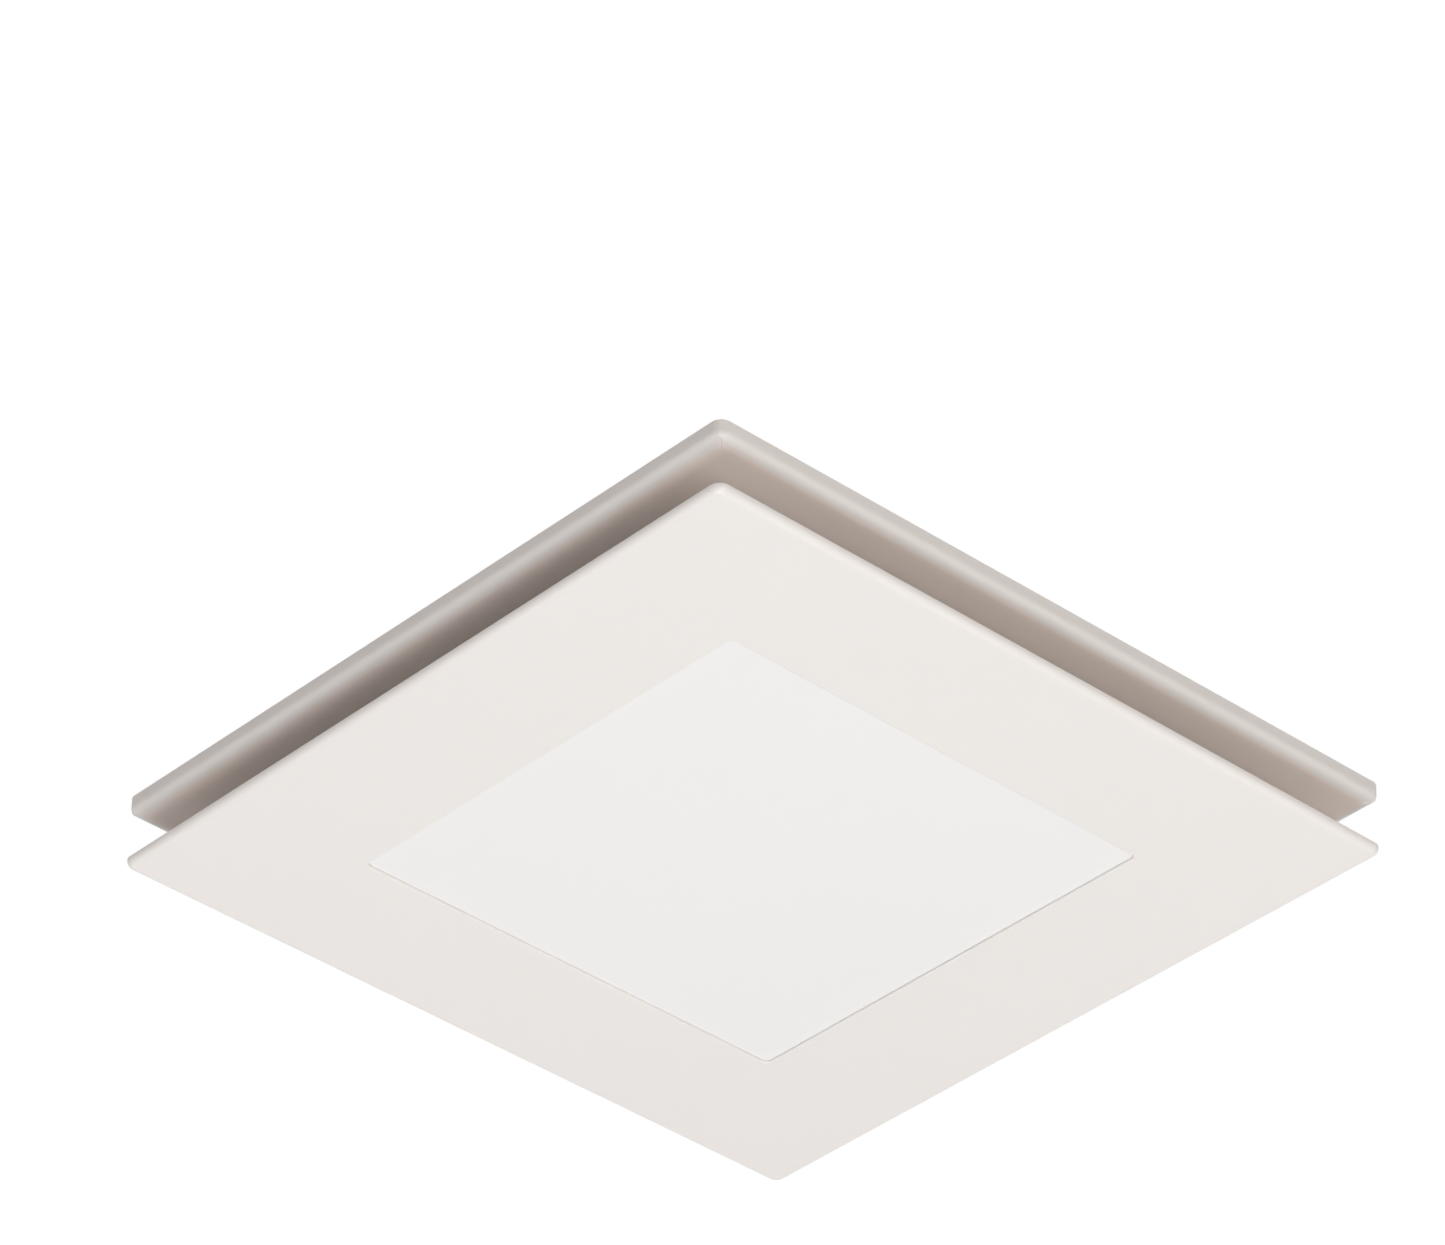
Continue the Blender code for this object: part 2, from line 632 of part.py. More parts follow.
def fascia_carrier():
    """Square frame on the back of the fascia with a post at each corner."""
    data = bmesh.new()
    rings = [square_ring(CARRIER_INNER, WINDOW_CORNER, CARRIER_LEVEL),
             square_ring(CARRIER_OUTER, FASCIA_CORNER, CARRIER_LEVEL),
             square_ring(CARRIER_OUTER, FASCIA_CORNER, CARRIER_TOP),
             square_ring(CARRIER_INNER, WINDOW_CORNER, CARRIER_TOP)]
    add_rings(data, rings, True)
    piece = finish("fascia_carrier", data, white_abs())
    posts = bmesh.new()
    tip = CARRIER_TOP + POST_HEIGHT
    for turn in quarters():
        add_turned(posts, [(POST_RADIUS, CARRIER_TOP - SINK), (POST_RADIUS, tip - POST_TAPER * 2),
                           (POST_RADIUS - POST_TAPER, tip)],
                   SMALL_STEPS, turn @ Matrix.Translation((POST_PLACE, POST_PLACE, 0)), closed=False)
    return join(piece, posts)


def catch_clips():
    """Square nylon catches, split into two spring fingers, that grip the posts."""
    half = POST_RADIUS + SLIP + CLIP_WALL
    corners = [(-half, -half), (half, -half), (half, half), (-half, half)]
    data = bmesh.new()
    add_plate(data, [corners, circle(POST_RADIUS + SLIP, SMALL_STEPS)], 0, CLIP_HEIGHT)
    piece = finish("catch_clip", data, nylon())
    slot = bmesh.new()
    add_box(slot, (-half - OVERRUN, -CLIP_SLOT / 2, CLIP_HEIGHT - CLIP_SLOT_DEPTH),
            (half + OVERRUN, CLIP_SLOT / 2, CLIP_HEIGHT + OVERRUN))
    cut(piece, slot)
    piece.location = (POST_PLACE, POST_PLACE, SEAT_LEVEL)
    return copies(piece, "catch_clip", 4)


def light_connector():
    """Plug on the carrier and the socket on the bezel that it goes up into."""
    data = bmesh.new()
    half_x = PLUG_WIDTH / 2
    half_y = PLUG_LENGTH / 2
    add_box(data, (POST_PLACE - half_x, PLUG_Y - half_y, CARRIER_TOP + SEAT),
            (POST_PLACE + half_x, PLUG_Y + half_y, PLUG_TIP))
    finish("light_plug", data, black_plastic())
    outer_x = half_x + SLIP + SOCKET_WALL
    outer_y = half_y + SLIP + SOCKET_WALL
    data = bmesh.new()
    add_box(data, (POST_PLACE - outer_x, PLUG_Y - outer_y, SEAT_LEVEL),
            (POST_PLACE + outer_x, PLUG_Y + outer_y, SEAT_LEVEL + SOCKET_HEIGHT))
    piece = finish("light_socket", data, black_plastic())
    hollow = bmesh.new()
    add_box(hollow, (POST_PLACE - half_x - SLIP, PLUG_Y - half_y - SLIP, SEAT_LEVEL - OVERRUN),
            (POST_PLACE + half_x + SLIP, PLUG_Y + half_y + SLIP, SEAT_LEVEL + SOCKET_HEIGHT - SOCKET_ROOF))
    return cut(piece, hollow)


def guard_radii():
    """Inner and outer radius of each solid band of the grille, from the hub out."""
    bands = [(0, GUARD_HUB_RADIUS)]
    for index in range(1, GUARD_RINGS):
        middle = GUARD_HUB_RADIUS + (THROAT_RADIUS - GUARD_HUB_RADIUS) * index / GUARD_RINGS
        bands.append((middle - GUARD_BAR / 2, middle + GUARD_BAR / 2))
    bands.append((THROAT_RADIUS - GUARD_BAR, THROAT_RADIUS + GUARD_LAP))
    return bands


def finger_guard():
    """Flat moulded grille: a hub, rings, a rim and radial spokes."""
    bands = guard_radii()
    outlines = [circle(bands[-1][1], GUARD_SECTORS)]
    steps = GUARD_SECTORS // GUARD_SPOKES
    for spoke in range(GUARD_SPOKES):
        first = math.tau * spoke / GUARD_SPOKES
        for inner, outer in zip(bands, bands[1:]):
            outline = []
            for radius, way in ((outer[0], 1), (inner[1], -1)):
                skew = math.asin(GUARD_BAR / 2 / radius)
                span = math.tau / GUARD_SPOKES - 2 * skew
                turns = [first + skew + span * index / steps for index in range(steps + 1)][::way]
                outline += [(radius * math.cos(turn), radius * math.sin(turn)) for turn in turns]
            outlines.append(outline)
    data = bmesh.new()
    add_plate(data, outlines, SEAT_LEVEL, GUARD_TOP)
    return finish("finger_guard", data, grey_abs())


def inlet_ring():
    """Bell mouth from the grille up into the eye of the impeller."""
    top = BASE_TOP + INLET_REACH
    bend_top = BASE_LEVEL - SEAT - INLET_WALL
    drop = bend_top - MOUTH_LEVEL - INLET_WALL
    across = MOUTH_RADIUS - EYE_RADIUS
    inside = []
    outside = []
    for index in range(ROLL_STEPS + 1):
        angle = math.pi / 2 * index / ROLL_STEPS
        inside.append((MOUTH_RADIUS - across * math.sin(angle), bend_top - drop * math.cos(angle)))
        outside.append((MOUTH_RADIUS - (across - INLET_WALL) * math.sin(angle),
                        bend_top - (drop - INLET_WALL) * math.cos(angle)))
    lip = MOUTH_RADIUS + INLET_WALL
    flange = MOUTH_RADIUS + INLET_FLANGE
    outer = EYE_RADIUS + INLET_WALL
    flange_top = BASE_LEVEL - SEAT
    profile = [(MOUTH_RADIUS, MOUTH_LEVEL)] + inside + [(EYE_RADIUS, top), (outer, top), (outer, flange_top),
                                                      (flange, flange_top), (flange, bend_top),
                                                      (outer + INLET_WALL, bend_top)]
    profile += list(reversed(outside[:-1])) + [(lip, outside[0][1]), (lip, MOUTH_LEVEL)]
    data = bmesh.new()
    add_turned(data, profile, ROUND_STEPS)
    return finish("inlet_ring", data, grey_abs())


def spiral_radius(angle):
    share = (angle - SCROLL_START_ANGLE) / (SCROLL_END_ANGLE - SCROLL_START_ANGLE)
    return SCROLL_START_RADIUS + (SCROLL_END_RADIUS - SCROLL_START_RADIUS) * share


def spiral(offset, floor_y):
    """Points of the scroll's spiral moved out by an offset, from where it leaves a level line."""
    first = math.asin(floor_y / (SCROLL_START_RADIUS + offset))
    turns = [first + (SCROLL_END_ANGLE - first) * index / SCROLL_STEPS for index in range(SCROLL_STEPS + 1)]
    return [((spiral_radius(turn) + offset) * math.cos(turn),
             (spiral_radius(turn) + offset) * math.sin(turn)) for turn in turns]


def scroll_wall():
    """Spiral wall round the impeller that opens into the outlet."""
    gas_y = TONGUE_Y - SCROLL_WALL
    outline = spiral(0, gas_y)
    outline += [(OUTLET_REACH, -SCROLL_END_RADIUS), (OUTLET_REACH, -SCROLL_END_RADIUS - SCROLL_WALL)]
    outline += list(reversed(spiral(SCROLL_WALL, TONGUE_Y)))
    outline += [(OUTLET_REACH, TONGUE_Y), (OUTLET_REACH, gas_y)]
    data = bmesh.new()
    add_rings(data, [ring_at(outline, level) for level in (DECK, SCROLL_TOP)], False)
    return finish("scroll_wall", data, galvanised())


def fixing_turns():
    out = Matrix.Translation((FIXING_RADIUS, 0, 0))
    return [Matrix.Rotation(math.tau * index / MOTOR_FIXINGS, 4, "Z") @ out for index in range(MOTOR_FIXINGS)]


def scroll_cover():
    """Top of the scroll with three bosses under the motor's fixings."""
    spread = SCROLL_WALL + COVER_LIP
    shelf = TONGUE_Y + COVER_LIP
    outline = spiral(spread, shelf)
    outline += [(OUTLET_REACH, -SCROLL_END_RADIUS - spread), (OUTLET_REACH, shelf)]
    data = bmesh.new()
    add_plate(data, [outline, circle(COVER_HOLE_RADIUS, SMALL_STEPS)], COVER_LEVEL, COVER_TOP)
    piece = finish("scroll_cover", data, galvanised())
    bosses = bmesh.new()
    holes = bmesh.new()
    low = COVER_LEVEL - COVER_BOSS_DEPTH
    for place in fixing_turns():
        add_rod(bosses, COVER_BOSS_RADIUS, low, COVER_LEVEL + SINK, SMALL_STEPS, place)
        add_rod(holes, SCREW_RADIUS + SEAT, low - OVERRUN, COVER_TOP + OVERRUN, SMALL_STEPS, place)
    join(piece, bosses)
    return cut(piece, holes)


def side_frames():
    """Place of each ceiling arm: X out of the fan, Y along its side, Z up, origin on the pin."""
    here = Matrix.Translation((PIN_PLACE, ARM_OFFSET, PIN_LEVEL))
    return [turn @ here for turn in quarters()]


def across_side(matrix):
    """Turn a shape drawn in (out, up) and raised along Z so that it runs along the side."""
    return matrix @ Matrix.Rotation(math.pi / 2, 4, "X")


def ear_spans():
    """Along the side, where the two ears of an arm begin and end. The spring has the wider gap."""
    near = -ARM_WIDTH / 2 - SEAT - EAR_THICKNESS
    far = ARM_WIDTH / 2 + SEAT + SPRING_LENGTH + SEAT
    return [(near, near + EAR_THICKNESS), (far, far + EAR_THICKNESS)]


def base_plate():
    """Floor of the housing with the ears for the ceiling arms and the capacitor's cup."""
    half = BASE_HALF
    lead_hole = circle(LEAD_RADIUS + LEAD_HOLE_CLEARANCE, SMALL_STEPS, (POST_PLACE, PLUG_Y))
    eye = circle(EYE_RADIUS + INLET_WALL + SLIP, ROUND_STEPS)
    data = bmesh.new()
    add_plate(data, [rounded_square(half, COLLAR_CORNER), eye, lead_hole], BASE_LEVEL, BASE_TOP)
    piece = finish("base_plate", data, galvanised())
    raised = bmesh.new()
    foot = -ARM_PIN_LIFT - SINK
    outline = [(-EAR_HALF_WIDTH, foot), (EAR_HALF_WIDTH, foot), (EAR_HALF_WIDTH, EAR_HALF_WIDTH / 2),
               (EAR_HALF_WIDTH / 2, EAR_HALF_WIDTH), (-EAR_HALF_WIDTH / 2, EAR_HALF_WIDTH),
               (-EAR_HALF_WIDTH, EAR_HALF_WIDTH / 2)]
    hole = circle(TRUNNION_RADIUS + SEAT, SMALL_STEPS)
    for place in side_frames():
        for low, high in ear_spans():
            add_plate(raised, [outline, hole], low, high, across_side(place))
    add_tube(raised, CAPACITOR_RADIUS + SLIP, CAPACITOR_RADIUS + SLIP + CUP_WALL, BASE_TOP - SINK,
             BASE_TOP + CUP_HEIGHT, 2 * SMALL_STEPS, Matrix.Translation((*CAPACITOR_PLACE, 0)))
    return join(piece, raised)


def ceiling_arms():
    """Moulded arm with its own trunnions, and the torsion spring on the longer one."""
    foot = -(PIN_LEVEL - BOARD_THICKNESS)
    outline = [(-ARM_HUB_RADIUS, -ARM_HUB_RADIUS / 2), (-ARM_HUB_RADIUS / 2, -ARM_HUB_RADIUS),
               (ARM_HUB_RADIUS, -ARM_HUB_RADIUS), (ARM_ELBOW, -ARM_HUB_RADIUS), (ARM_FOOT_START, foot),
               (ARM_FOOT_END, foot), (ARM_FOOT_END, foot + ARM_THICKNESS / 2),
               (ARM_FOOT_START + ARM_HEEL, foot + ARM_THICKNESS),
               (ARM_ELBOW + ARM_THICKNESS, ARM_THICKNESS - ARM_HUB_RADIUS), (ARM_ELBOW, ARM_HUB_RADIUS / 2),
               (ARM_HUB_RADIUS / 2, ARM_HUB_RADIUS), (-ARM_HUB_RADIUS / 2, ARM_HUB_RADIUS),
               (-ARM_HUB_RADIUS, ARM_HUB_RADIUS / 2)]
    along = across_side(Matrix.Identity(4))
    data = bmesh.new()
    add_rings(data, [ring_at(outline, level) for level in (-ARM_WIDTH / 2, ARM_WIDTH / 2)], False, along)
    piece = finish("ceiling_arm", data, nylon())
    ears = ear_spans()
    trunnions = bmesh.new()
    add_rod(trunnions, TRUNNION_RADIUS, ears[0][0], -ARM_WIDTH / 2 + SINK, SMALL_STEPS, along)
    add_rod(trunnions, TRUNNION_RADIUS, ARM_WIDTH / 2 - SINK, ears[1][1], SMALL_STEPS, along)
    join(piece, trunnions)
    piece.location = (PIN_PLACE, ARM_OFFSET, PIN_LEVEL)
    copies(piece, "ceiling_arm", 4)
    data = bmesh.new()
    inner = TRUNNION_RADIUS + SEAT
    low = ARM_WIDTH / 2 + SEAT
    add_tube(data, inner, inner + SPRING_WIRE, low, low + SPRING_LENGTH, SMALL_STEPS, along)
    piece = finish("arm_spring", data, steel())
    piece.location = (PIN_PLACE, ARM_OFFSET, PIN_LEVEL)
    copies(piece, "arm_spring", 4)


def blade_outline():
    """Section of one forward-curved blade, in plan, at angle zero."""
    outer = IMPELLER_RADIUS - SEAT
    inner = outer - BLADE_CHORD
    middle = (inner + outer) / 2
    front = [(inner, 0), (middle, -BLADE_BOW), (outer, BLADE_CHORD * math.sin(BLADE_SWEEP))]
    back = [(outer, front[2][1] - BLADE_EDGE), (middle, -BLADE_BOW - BLADE_THICKNESS), (inner, -BLADE_EDGE)]
    return front + back


def impeller():
    """Forward-curved blades between a shroud ring at the inlet and a plate with the hub."""
    shroud_top = IMPELLER_LEVEL + SHROUD_HEIGHT
    plate = IMPELLER_TOP - IMPELLER_PLATE
    bore = SHAFT_RADIUS + SEAT
    data = bmesh.new()
    hub_top = IMPELLER_TOP + HUB_ABOVE
    add_turned(data, [(bore, HUB_LEVEL), (HUB_RADIUS, HUB_LEVEL), (HUB_RADIUS, plate),
                      (IMPELLER_RADIUS, plate), (IMPELLER_RADIUS, IMPELLER_TOP),
                      (HUB_RADIUS, IMPELLER_TOP), (HUB_RADIUS, hub_top), (bore, hub_top)], ROUND_STEPS)
    piece = finish("impeller", data, black_plastic(), (0, 0, IMPELLER_LEVEL))
    cage = bmesh.new()
    add_tube(cage, IMPELLER_RADIUS - SHROUD_WIDTH, IMPELLER_RADIUS, IMPELLER_LEVEL, shroud_top, ROUND_STEPS)
    shroud = finish("shroud", cage, black_plastic(), (0, 0, IMPELLER_LEVEL))
    blades = bmesh.new()
    ends = [ring_at(blade_outline(), level) for level in (shroud_top - SINK, plate + SINK)]
    for index in range(BLADE_COUNT):
        add_rings(blades, ends, False, Matrix.Rotation(math.tau * index / BLADE_COUNT, 4, "Z"))
    join(shroud, blades)
    crown = bmesh.new()
    crown.from_mesh(shroud.data)
    bmesh.ops.translate(crown, vec=shroud.location, verts=crown.verts)
    bpy.data.objects.remove(shroud, do_unlink=True)
    return join(piece, crown)


def spindle():
    """Shaft, rotor and the nut that holds the impeller on."""
    axis = (0, 0, IMPELLER_LEVEL)
    nut_top = HUB_LEVEL - SEAT
    top = CAN_TOP - CAN_FLOOR - SEAT
    data = bmesh.new()
    add_rod(data, SHAFT_RADIUS, nut_top - NUT_HEIGHT - SHAFT_TAIL, top, SMALL_STEPS)
    finish("motor_shaft", data, steel(), axis)
    data = bmesh.new()
    outlines = [circle(NUT_RADIUS, HEX_SIDES), circle(SHAFT_RADIUS + SEAT, SMALL_STEPS)]
    add_plate(data, outlines, nut_top - NUT_HEIGHT, nut_top)
    finish("impeller_nut", data, steel(), axis)
    data = bmesh.new()
    add_tube(data, SHAFT_RADIUS + SEAT, ROTOR_RADIUS, CORE_LEVEL, CORE_LEVEL + CORE_HEIGHT, ROUND_STEPS)
    finish("rotor", data, steel(), axis)


def can_profile():
    """Half of the motor's casing from its split line: side, rounded edge, floor and bearing seat."""
    inner = CAN_RADIUS - CAN_WALL
    seat = BEARING_RADIUS + SEAT
    seat_top = CAN_FLOOR + SEAT + BEARING_HEIGHT
    seat_outer = seat + BEARING_SEAT_WALL
    return [(CAN_SHAFT_HOLE, 0), (CAN_RADIUS - CAN_EDGE, 0), (CAN_RADIUS, CAN_EDGE),
            (CAN_RADIUS, CAN_HEIGHT / 2), (inner, CAN_HEIGHT / 2), (inner, CAN_FLOOR), (seat_outer, CAN_FLOOR),
            (seat_outer, seat_top), (seat, seat_top), (seat, CAN_FLOOR), (CAN_SHAFT_HOLE, CAN_FLOOR)]


def motor_cans():
    """Lower casing with three ears, and the upper casing that closes it."""
    data = bmesh.new()
    add_turned(data, can_profile(), ROUND_STEPS, Matrix.Translation((0, 0, EAR_LEVEL)))
    piece = finish("motor_can_lower", data, galvanised())
    ears = bmesh.new()
    for place in fixing_turns():
        root = FIXING_RADIUS - CAN_RADIUS + CAN_EDGE + CAN_WALL
        outline = [point for point in circle(EAR_RADIUS, 2 * SMALL_STEPS) if point[0] >= 0]
        outline.sort(key=lambda point: math.atan2(point[1], point[0]))
        outline += [(-root, EAR_RADIUS), (-root, -EAR_RADIUS)]
        hole = circle(GROMMET_NECK + SEAT, SMALL_STEPS)
        add_plate(ears, [outline, hole], EAR_LEVEL + EAR_RELIEF, EAR_TOP - EAR_RELIEF, place)
    join(piece, ears)
    data = bmesh.new()
    profile = [(radius, CAN_TOP - height) for radius, height in can_profile() if height != CAN_HEIGHT / 2]
    inner = CAN_RADIUS - CAN_WALL
    profile[3:3] = [(CAN_RADIUS, CAN_SPLIT + SEAT), (inner, CAN_SPLIT + SEAT)]
    profile[0] = (profile[0][0], CAN_TOP)
    add_turned(data, profile, ROUND_STEPS)
    finish("motor_can_upper", data, galvanised())


def motor_inside():
    """Stator, its winding and the two bearings."""
    data = bmesh.new()
    winding_inner = ROTOR_RADIUS + ROTOR_GAP
    winding_outer = winding_inner + WINDING_WIDTH
    core_top = CORE_LEVEL + CORE_HEIGHT
    add_tube(data, winding_outer + SEAT, CAN_RADIUS - CAN_WALL - SEAT, CORE_LEVEL, core_top, ROUND_STEPS)
    finish("stator_core", data, steel())
    data = bmesh.new()
    add_tube(data, winding_inner, winding_outer, CORE_LEVEL - WINDING_OVERHANG, core_top + WINDING_OVERHANG,
             ROUND_STEPS)
    finish("stator_winding", data, material("copper", COPPER, 0.35, 1.0))
    low = EAR_TOP + SEAT
    high = CAN_TOP - CAN_FLOOR - SEAT - BEARING_HEIGHT
    for name, level in (("lower_bearing", low), ("upper_bearing", high)):
        data = bmesh.new()
        add_tube(data, SHAFT_RADIUS + SEAT, BEARING_RADIUS, level, level + BEARING_HEIGHT, 2 * SMALL_STEPS)
        finish(name, data, steel())


def motor_fixings():
    """Rubber grommets in the ears, and the screws through them into the cover."""
    bore = SCREW_RADIUS + SEAT
    neck_low = GROMMET_LEVEL + GROMMET_FLANGE_THICKNESS
    neck_high = GROMMET_TOP - GROMMET_FLANGE_THICKNESS
    data = bmesh.new()
    add_turned(data, [(bore, GROMMET_LEVEL), (GROMMET_FLANGE, GROMMET_LEVEL), (GROMMET_FLANGE, neck_low),
                      (GROMMET_NECK, neck_low), (GROMMET_NECK, neck_high), (GROMMET_FLANGE, neck_high),
                      (GROMMET_FLANGE, GROMMET_TOP), (bore, GROMMET_TOP)], SMALL_STEPS)
    piece = finish("motor_grommet", data, rubber())
    piece.location = (FIXING_RADIUS, 0, 0)
    copies(piece, "motor_grommet", MOTOR_FIXINGS)
    data = bmesh.new()
    head = GROMMET_TOP + SEAT
    tip = COVER_LEVEL - COVER_BOSS_DEPTH + SCREW_TIP_MARGIN
    add_turned(data, [(SCREW_RADIUS, tip), (SCREW_RADIUS, head), (SCREW_HEAD_RADIUS, head),
                      (SCREW_HEAD_RADIUS, head + SCREW_HEAD_HEIGHT / 2),
                      (SCREW_HEAD_RADIUS / 2, head + SCREW_HEAD_HEIGHT)], SMALL_STEPS, closed=False)
    piece = finish("motor_screw", data, steel())
    piece.location = (FIXING_RADIUS, 0, 0)
    copies(piece, "motor_screw", MOTOR_FIXINGS)


def gland_centre():
    low = Vector((*TERMINAL_BOX_CORNER, DECK))
    return low + Vector((0, TERMINAL_BOX.y / 2, TERMINAL_BOX.z / 2))


def terminal_box():
    """Open box with a lid, the terminal block inside and the cable gland in its side."""
    low = Vector((*TERMINAL_BOX_CORNER, DECK))
    high = low + TERMINAL_BOX
    wall = Vector((BOX_WALL, BOX_WALL, BOX_WALL))
    data = bmesh.new()
    add_box(data, low, high)
    piece = finish("terminal_box", data, grey_abs())
    hollow = bmesh.new()
    add_box(hollow, low + wall, (high.x - BOX_WALL, high.y - BOX_WALL, high.z + OVERRUN))
    cut(piece, hollow)
    hole = bmesh.new()
    sideways = Matrix.Translation(gland_centre()) @ Matrix.Rotation(-math.pi / 2, 4, "Y")
    add_rod(hole, GLAND_RADIUS + SEAT, -BOX_WALL - OVERRUN, OVERRUN, 2 * SMALL_STEPS, sideways)
    cut(piece, hole)
    inside = wall + Vector((SEAT, SEAT, 0))
    data = bmesh.new()
    lid_level = high.z + SEAT
    add_box(data, (low.x, low.y, lid_level), (high.x, high.y, lid_level + LID_THICKNESS))
    piece = finish("terminal_box_lid", data, grey_abs())
    lip = bmesh.new()
    add_box(lip, (low.x + inside.x, low.y + inside.y, lid_level - LID_LIP),
            (high.x - inside.x, high.y - inside.y, lid_level + SINK))
    join(piece, lip)
    floor = low.z + BOX_WALL + SEAT
    middle = (low + high) / 2
    data = bmesh.new()
    add_box(data, (middle.x - TERMINAL_BLOCK.x / 2, middle.y - TERMINAL_BLOCK.y / 2, floor),
            (middle.x + TERMINAL_BLOCK.x / 2, middle.y + TERMINAL_BLOCK.y / 2, floor + TERMINAL_BLOCK.z))
    piece = finish("terminal_block", data, nylon())
    wells = bmesh.new()
    top = floor + TERMINAL_BLOCK.z
    for index in range(BLOCK_POLES):
        across = TERMINAL_BLOCK.x * ((index + 0.5) / BLOCK_POLES - 0.5)
        add_rod(wells, BLOCK_POLE_RADIUS, top - TERMINAL_BLOCK.z / 2, top + OVERRUN, SMALL_STEPS,
                Matrix.Translation((middle.x + across, middle.y, 0)))
    cut(piece, wells)
    data = bmesh.new()
    nose = GLAND_HEX_HEIGHT + GLAND_NOSE
    add_turned(data, [(GLAND_BORE, -BOX_WALL), (GLAND_RADIUS, -BOX_WALL), (GLAND_RADIUS, SEAT),
                      (GLAND_HEX_RADIUS, SEAT), (GLAND_HEX_RADIUS, GLAND_HEX_HEIGHT),
                      (GLAND_RADIUS, GLAND_HEX_HEIGHT + SEAT), (GLAND_RADIUS - GLAND_TAPER, nose),
                      (GLAND_BORE, nose)], 2 * SMALL_STEPS, sideways)
    finish("cable_gland", data, black_plastic())


def led_driver():
    """Sealed driver for the light with the colour switch in its top."""
    low = Vector((*DRIVER_CORNER, DECK))
    high = low + DRIVER_BOX
    data = bmesh.new()
    add_box(data, low, high)
    piece = finish("led_driver", data, white_abs())
    middle = (low + high) / 2
    slot = bmesh.new()
    add_box(slot, (middle.x - SWITCH_SLOT.x / 2, middle.y - SWITCH_SLOT.y / 2, high.z - SWITCH_SLOT.z),
            (middle.x + SWITCH_SLOT.x / 2, middle.y + SWITCH_SLOT.y / 2, high.z + OVERRUN))
    cut(piece, slot)
    data = bmesh.new()
    floor = high.z - SWITCH_SLOT.z + SEAT
    add_box(data, (middle.x - SWITCH_KNOB.x / 2, middle.y - SWITCH_KNOB.y / 2, floor),
            (middle.x + SWITCH_KNOB.x / 2, middle.y + SWITCH_KNOB.y / 2, floor + SWITCH_KNOB.z))
    finish("colour_switch", data, black_plastic(), (middle.x, middle.y, floor))


def capacitor():
    """Run capacitor, standing in its cup on the base plate."""
    top = DECK + CAPACITOR_HEIGHT
    data = bmesh.new()
    add_turned(data, [(CAPACITOR_RADIUS, DECK), (CAPACITOR_RADIUS, top - CAPACITOR_EDGE),
                      (CAPACITOR_RADIUS - CAPACITOR_EDGE, top)], 2 * SMALL_STEPS,
               Matrix.Translation((*CAPACITOR_PLACE, 0)), closed=False)
    return finish("capacitor", data, material("aluminium", ALUMINIUM, 0.35, 1.0))


def smooth_route(route, count):
    """Points read from a smooth curve through a route's own points."""
    points = [Vector(point) for point in route]
    ends = [2 * points[0] - points[1]] + points + [2 * points[-1] - points[-2]]
    spans = len(points) - 1
    made = []
    for index in range(count + 1):
        along = spans * index / count
        span = min(int(along), spans - 1)
        share = along - span
        before, start, stop, after = ends[span:span + 4]
        made.append((2 * start + (stop - before) * share
                     + (2 * before - 5 * start + 4 * stop - after) * share ** 2
                     + (3 * start - before - 3 * stop + after) * share ** 3) / 2)
    return made


def lead(name, route, surface):
    """A round lead along a route, as a curve with filled ends."""
    stretches = [(Vector(stop) - Vector(start)).length for start, stop in zip(route, route[1:])]
    curve = bpy.data.curves.new(name, "CURVE")
    curve.dimensions = "3D"
    curve.bevel_depth = LEAD_RADIUS
    curve.bevel_resolution = 2
    curve.use_fill_caps = True
    curve.render_resolution_u = 0
    line = curve.splines.new("POLY")
    points = smooth_route(route, round(sum(stretches) / LEAD_SPACING))
    line.points.add(len(points) - 1)
    for target, point in zip(line.points, points):
        target.co = (*point, 1)
    curve.materials.append(surface)
    piece = bpy.data.objects.new(name, curve)
    bpy.context.scene.collection.objects.link(piece)
    return piece


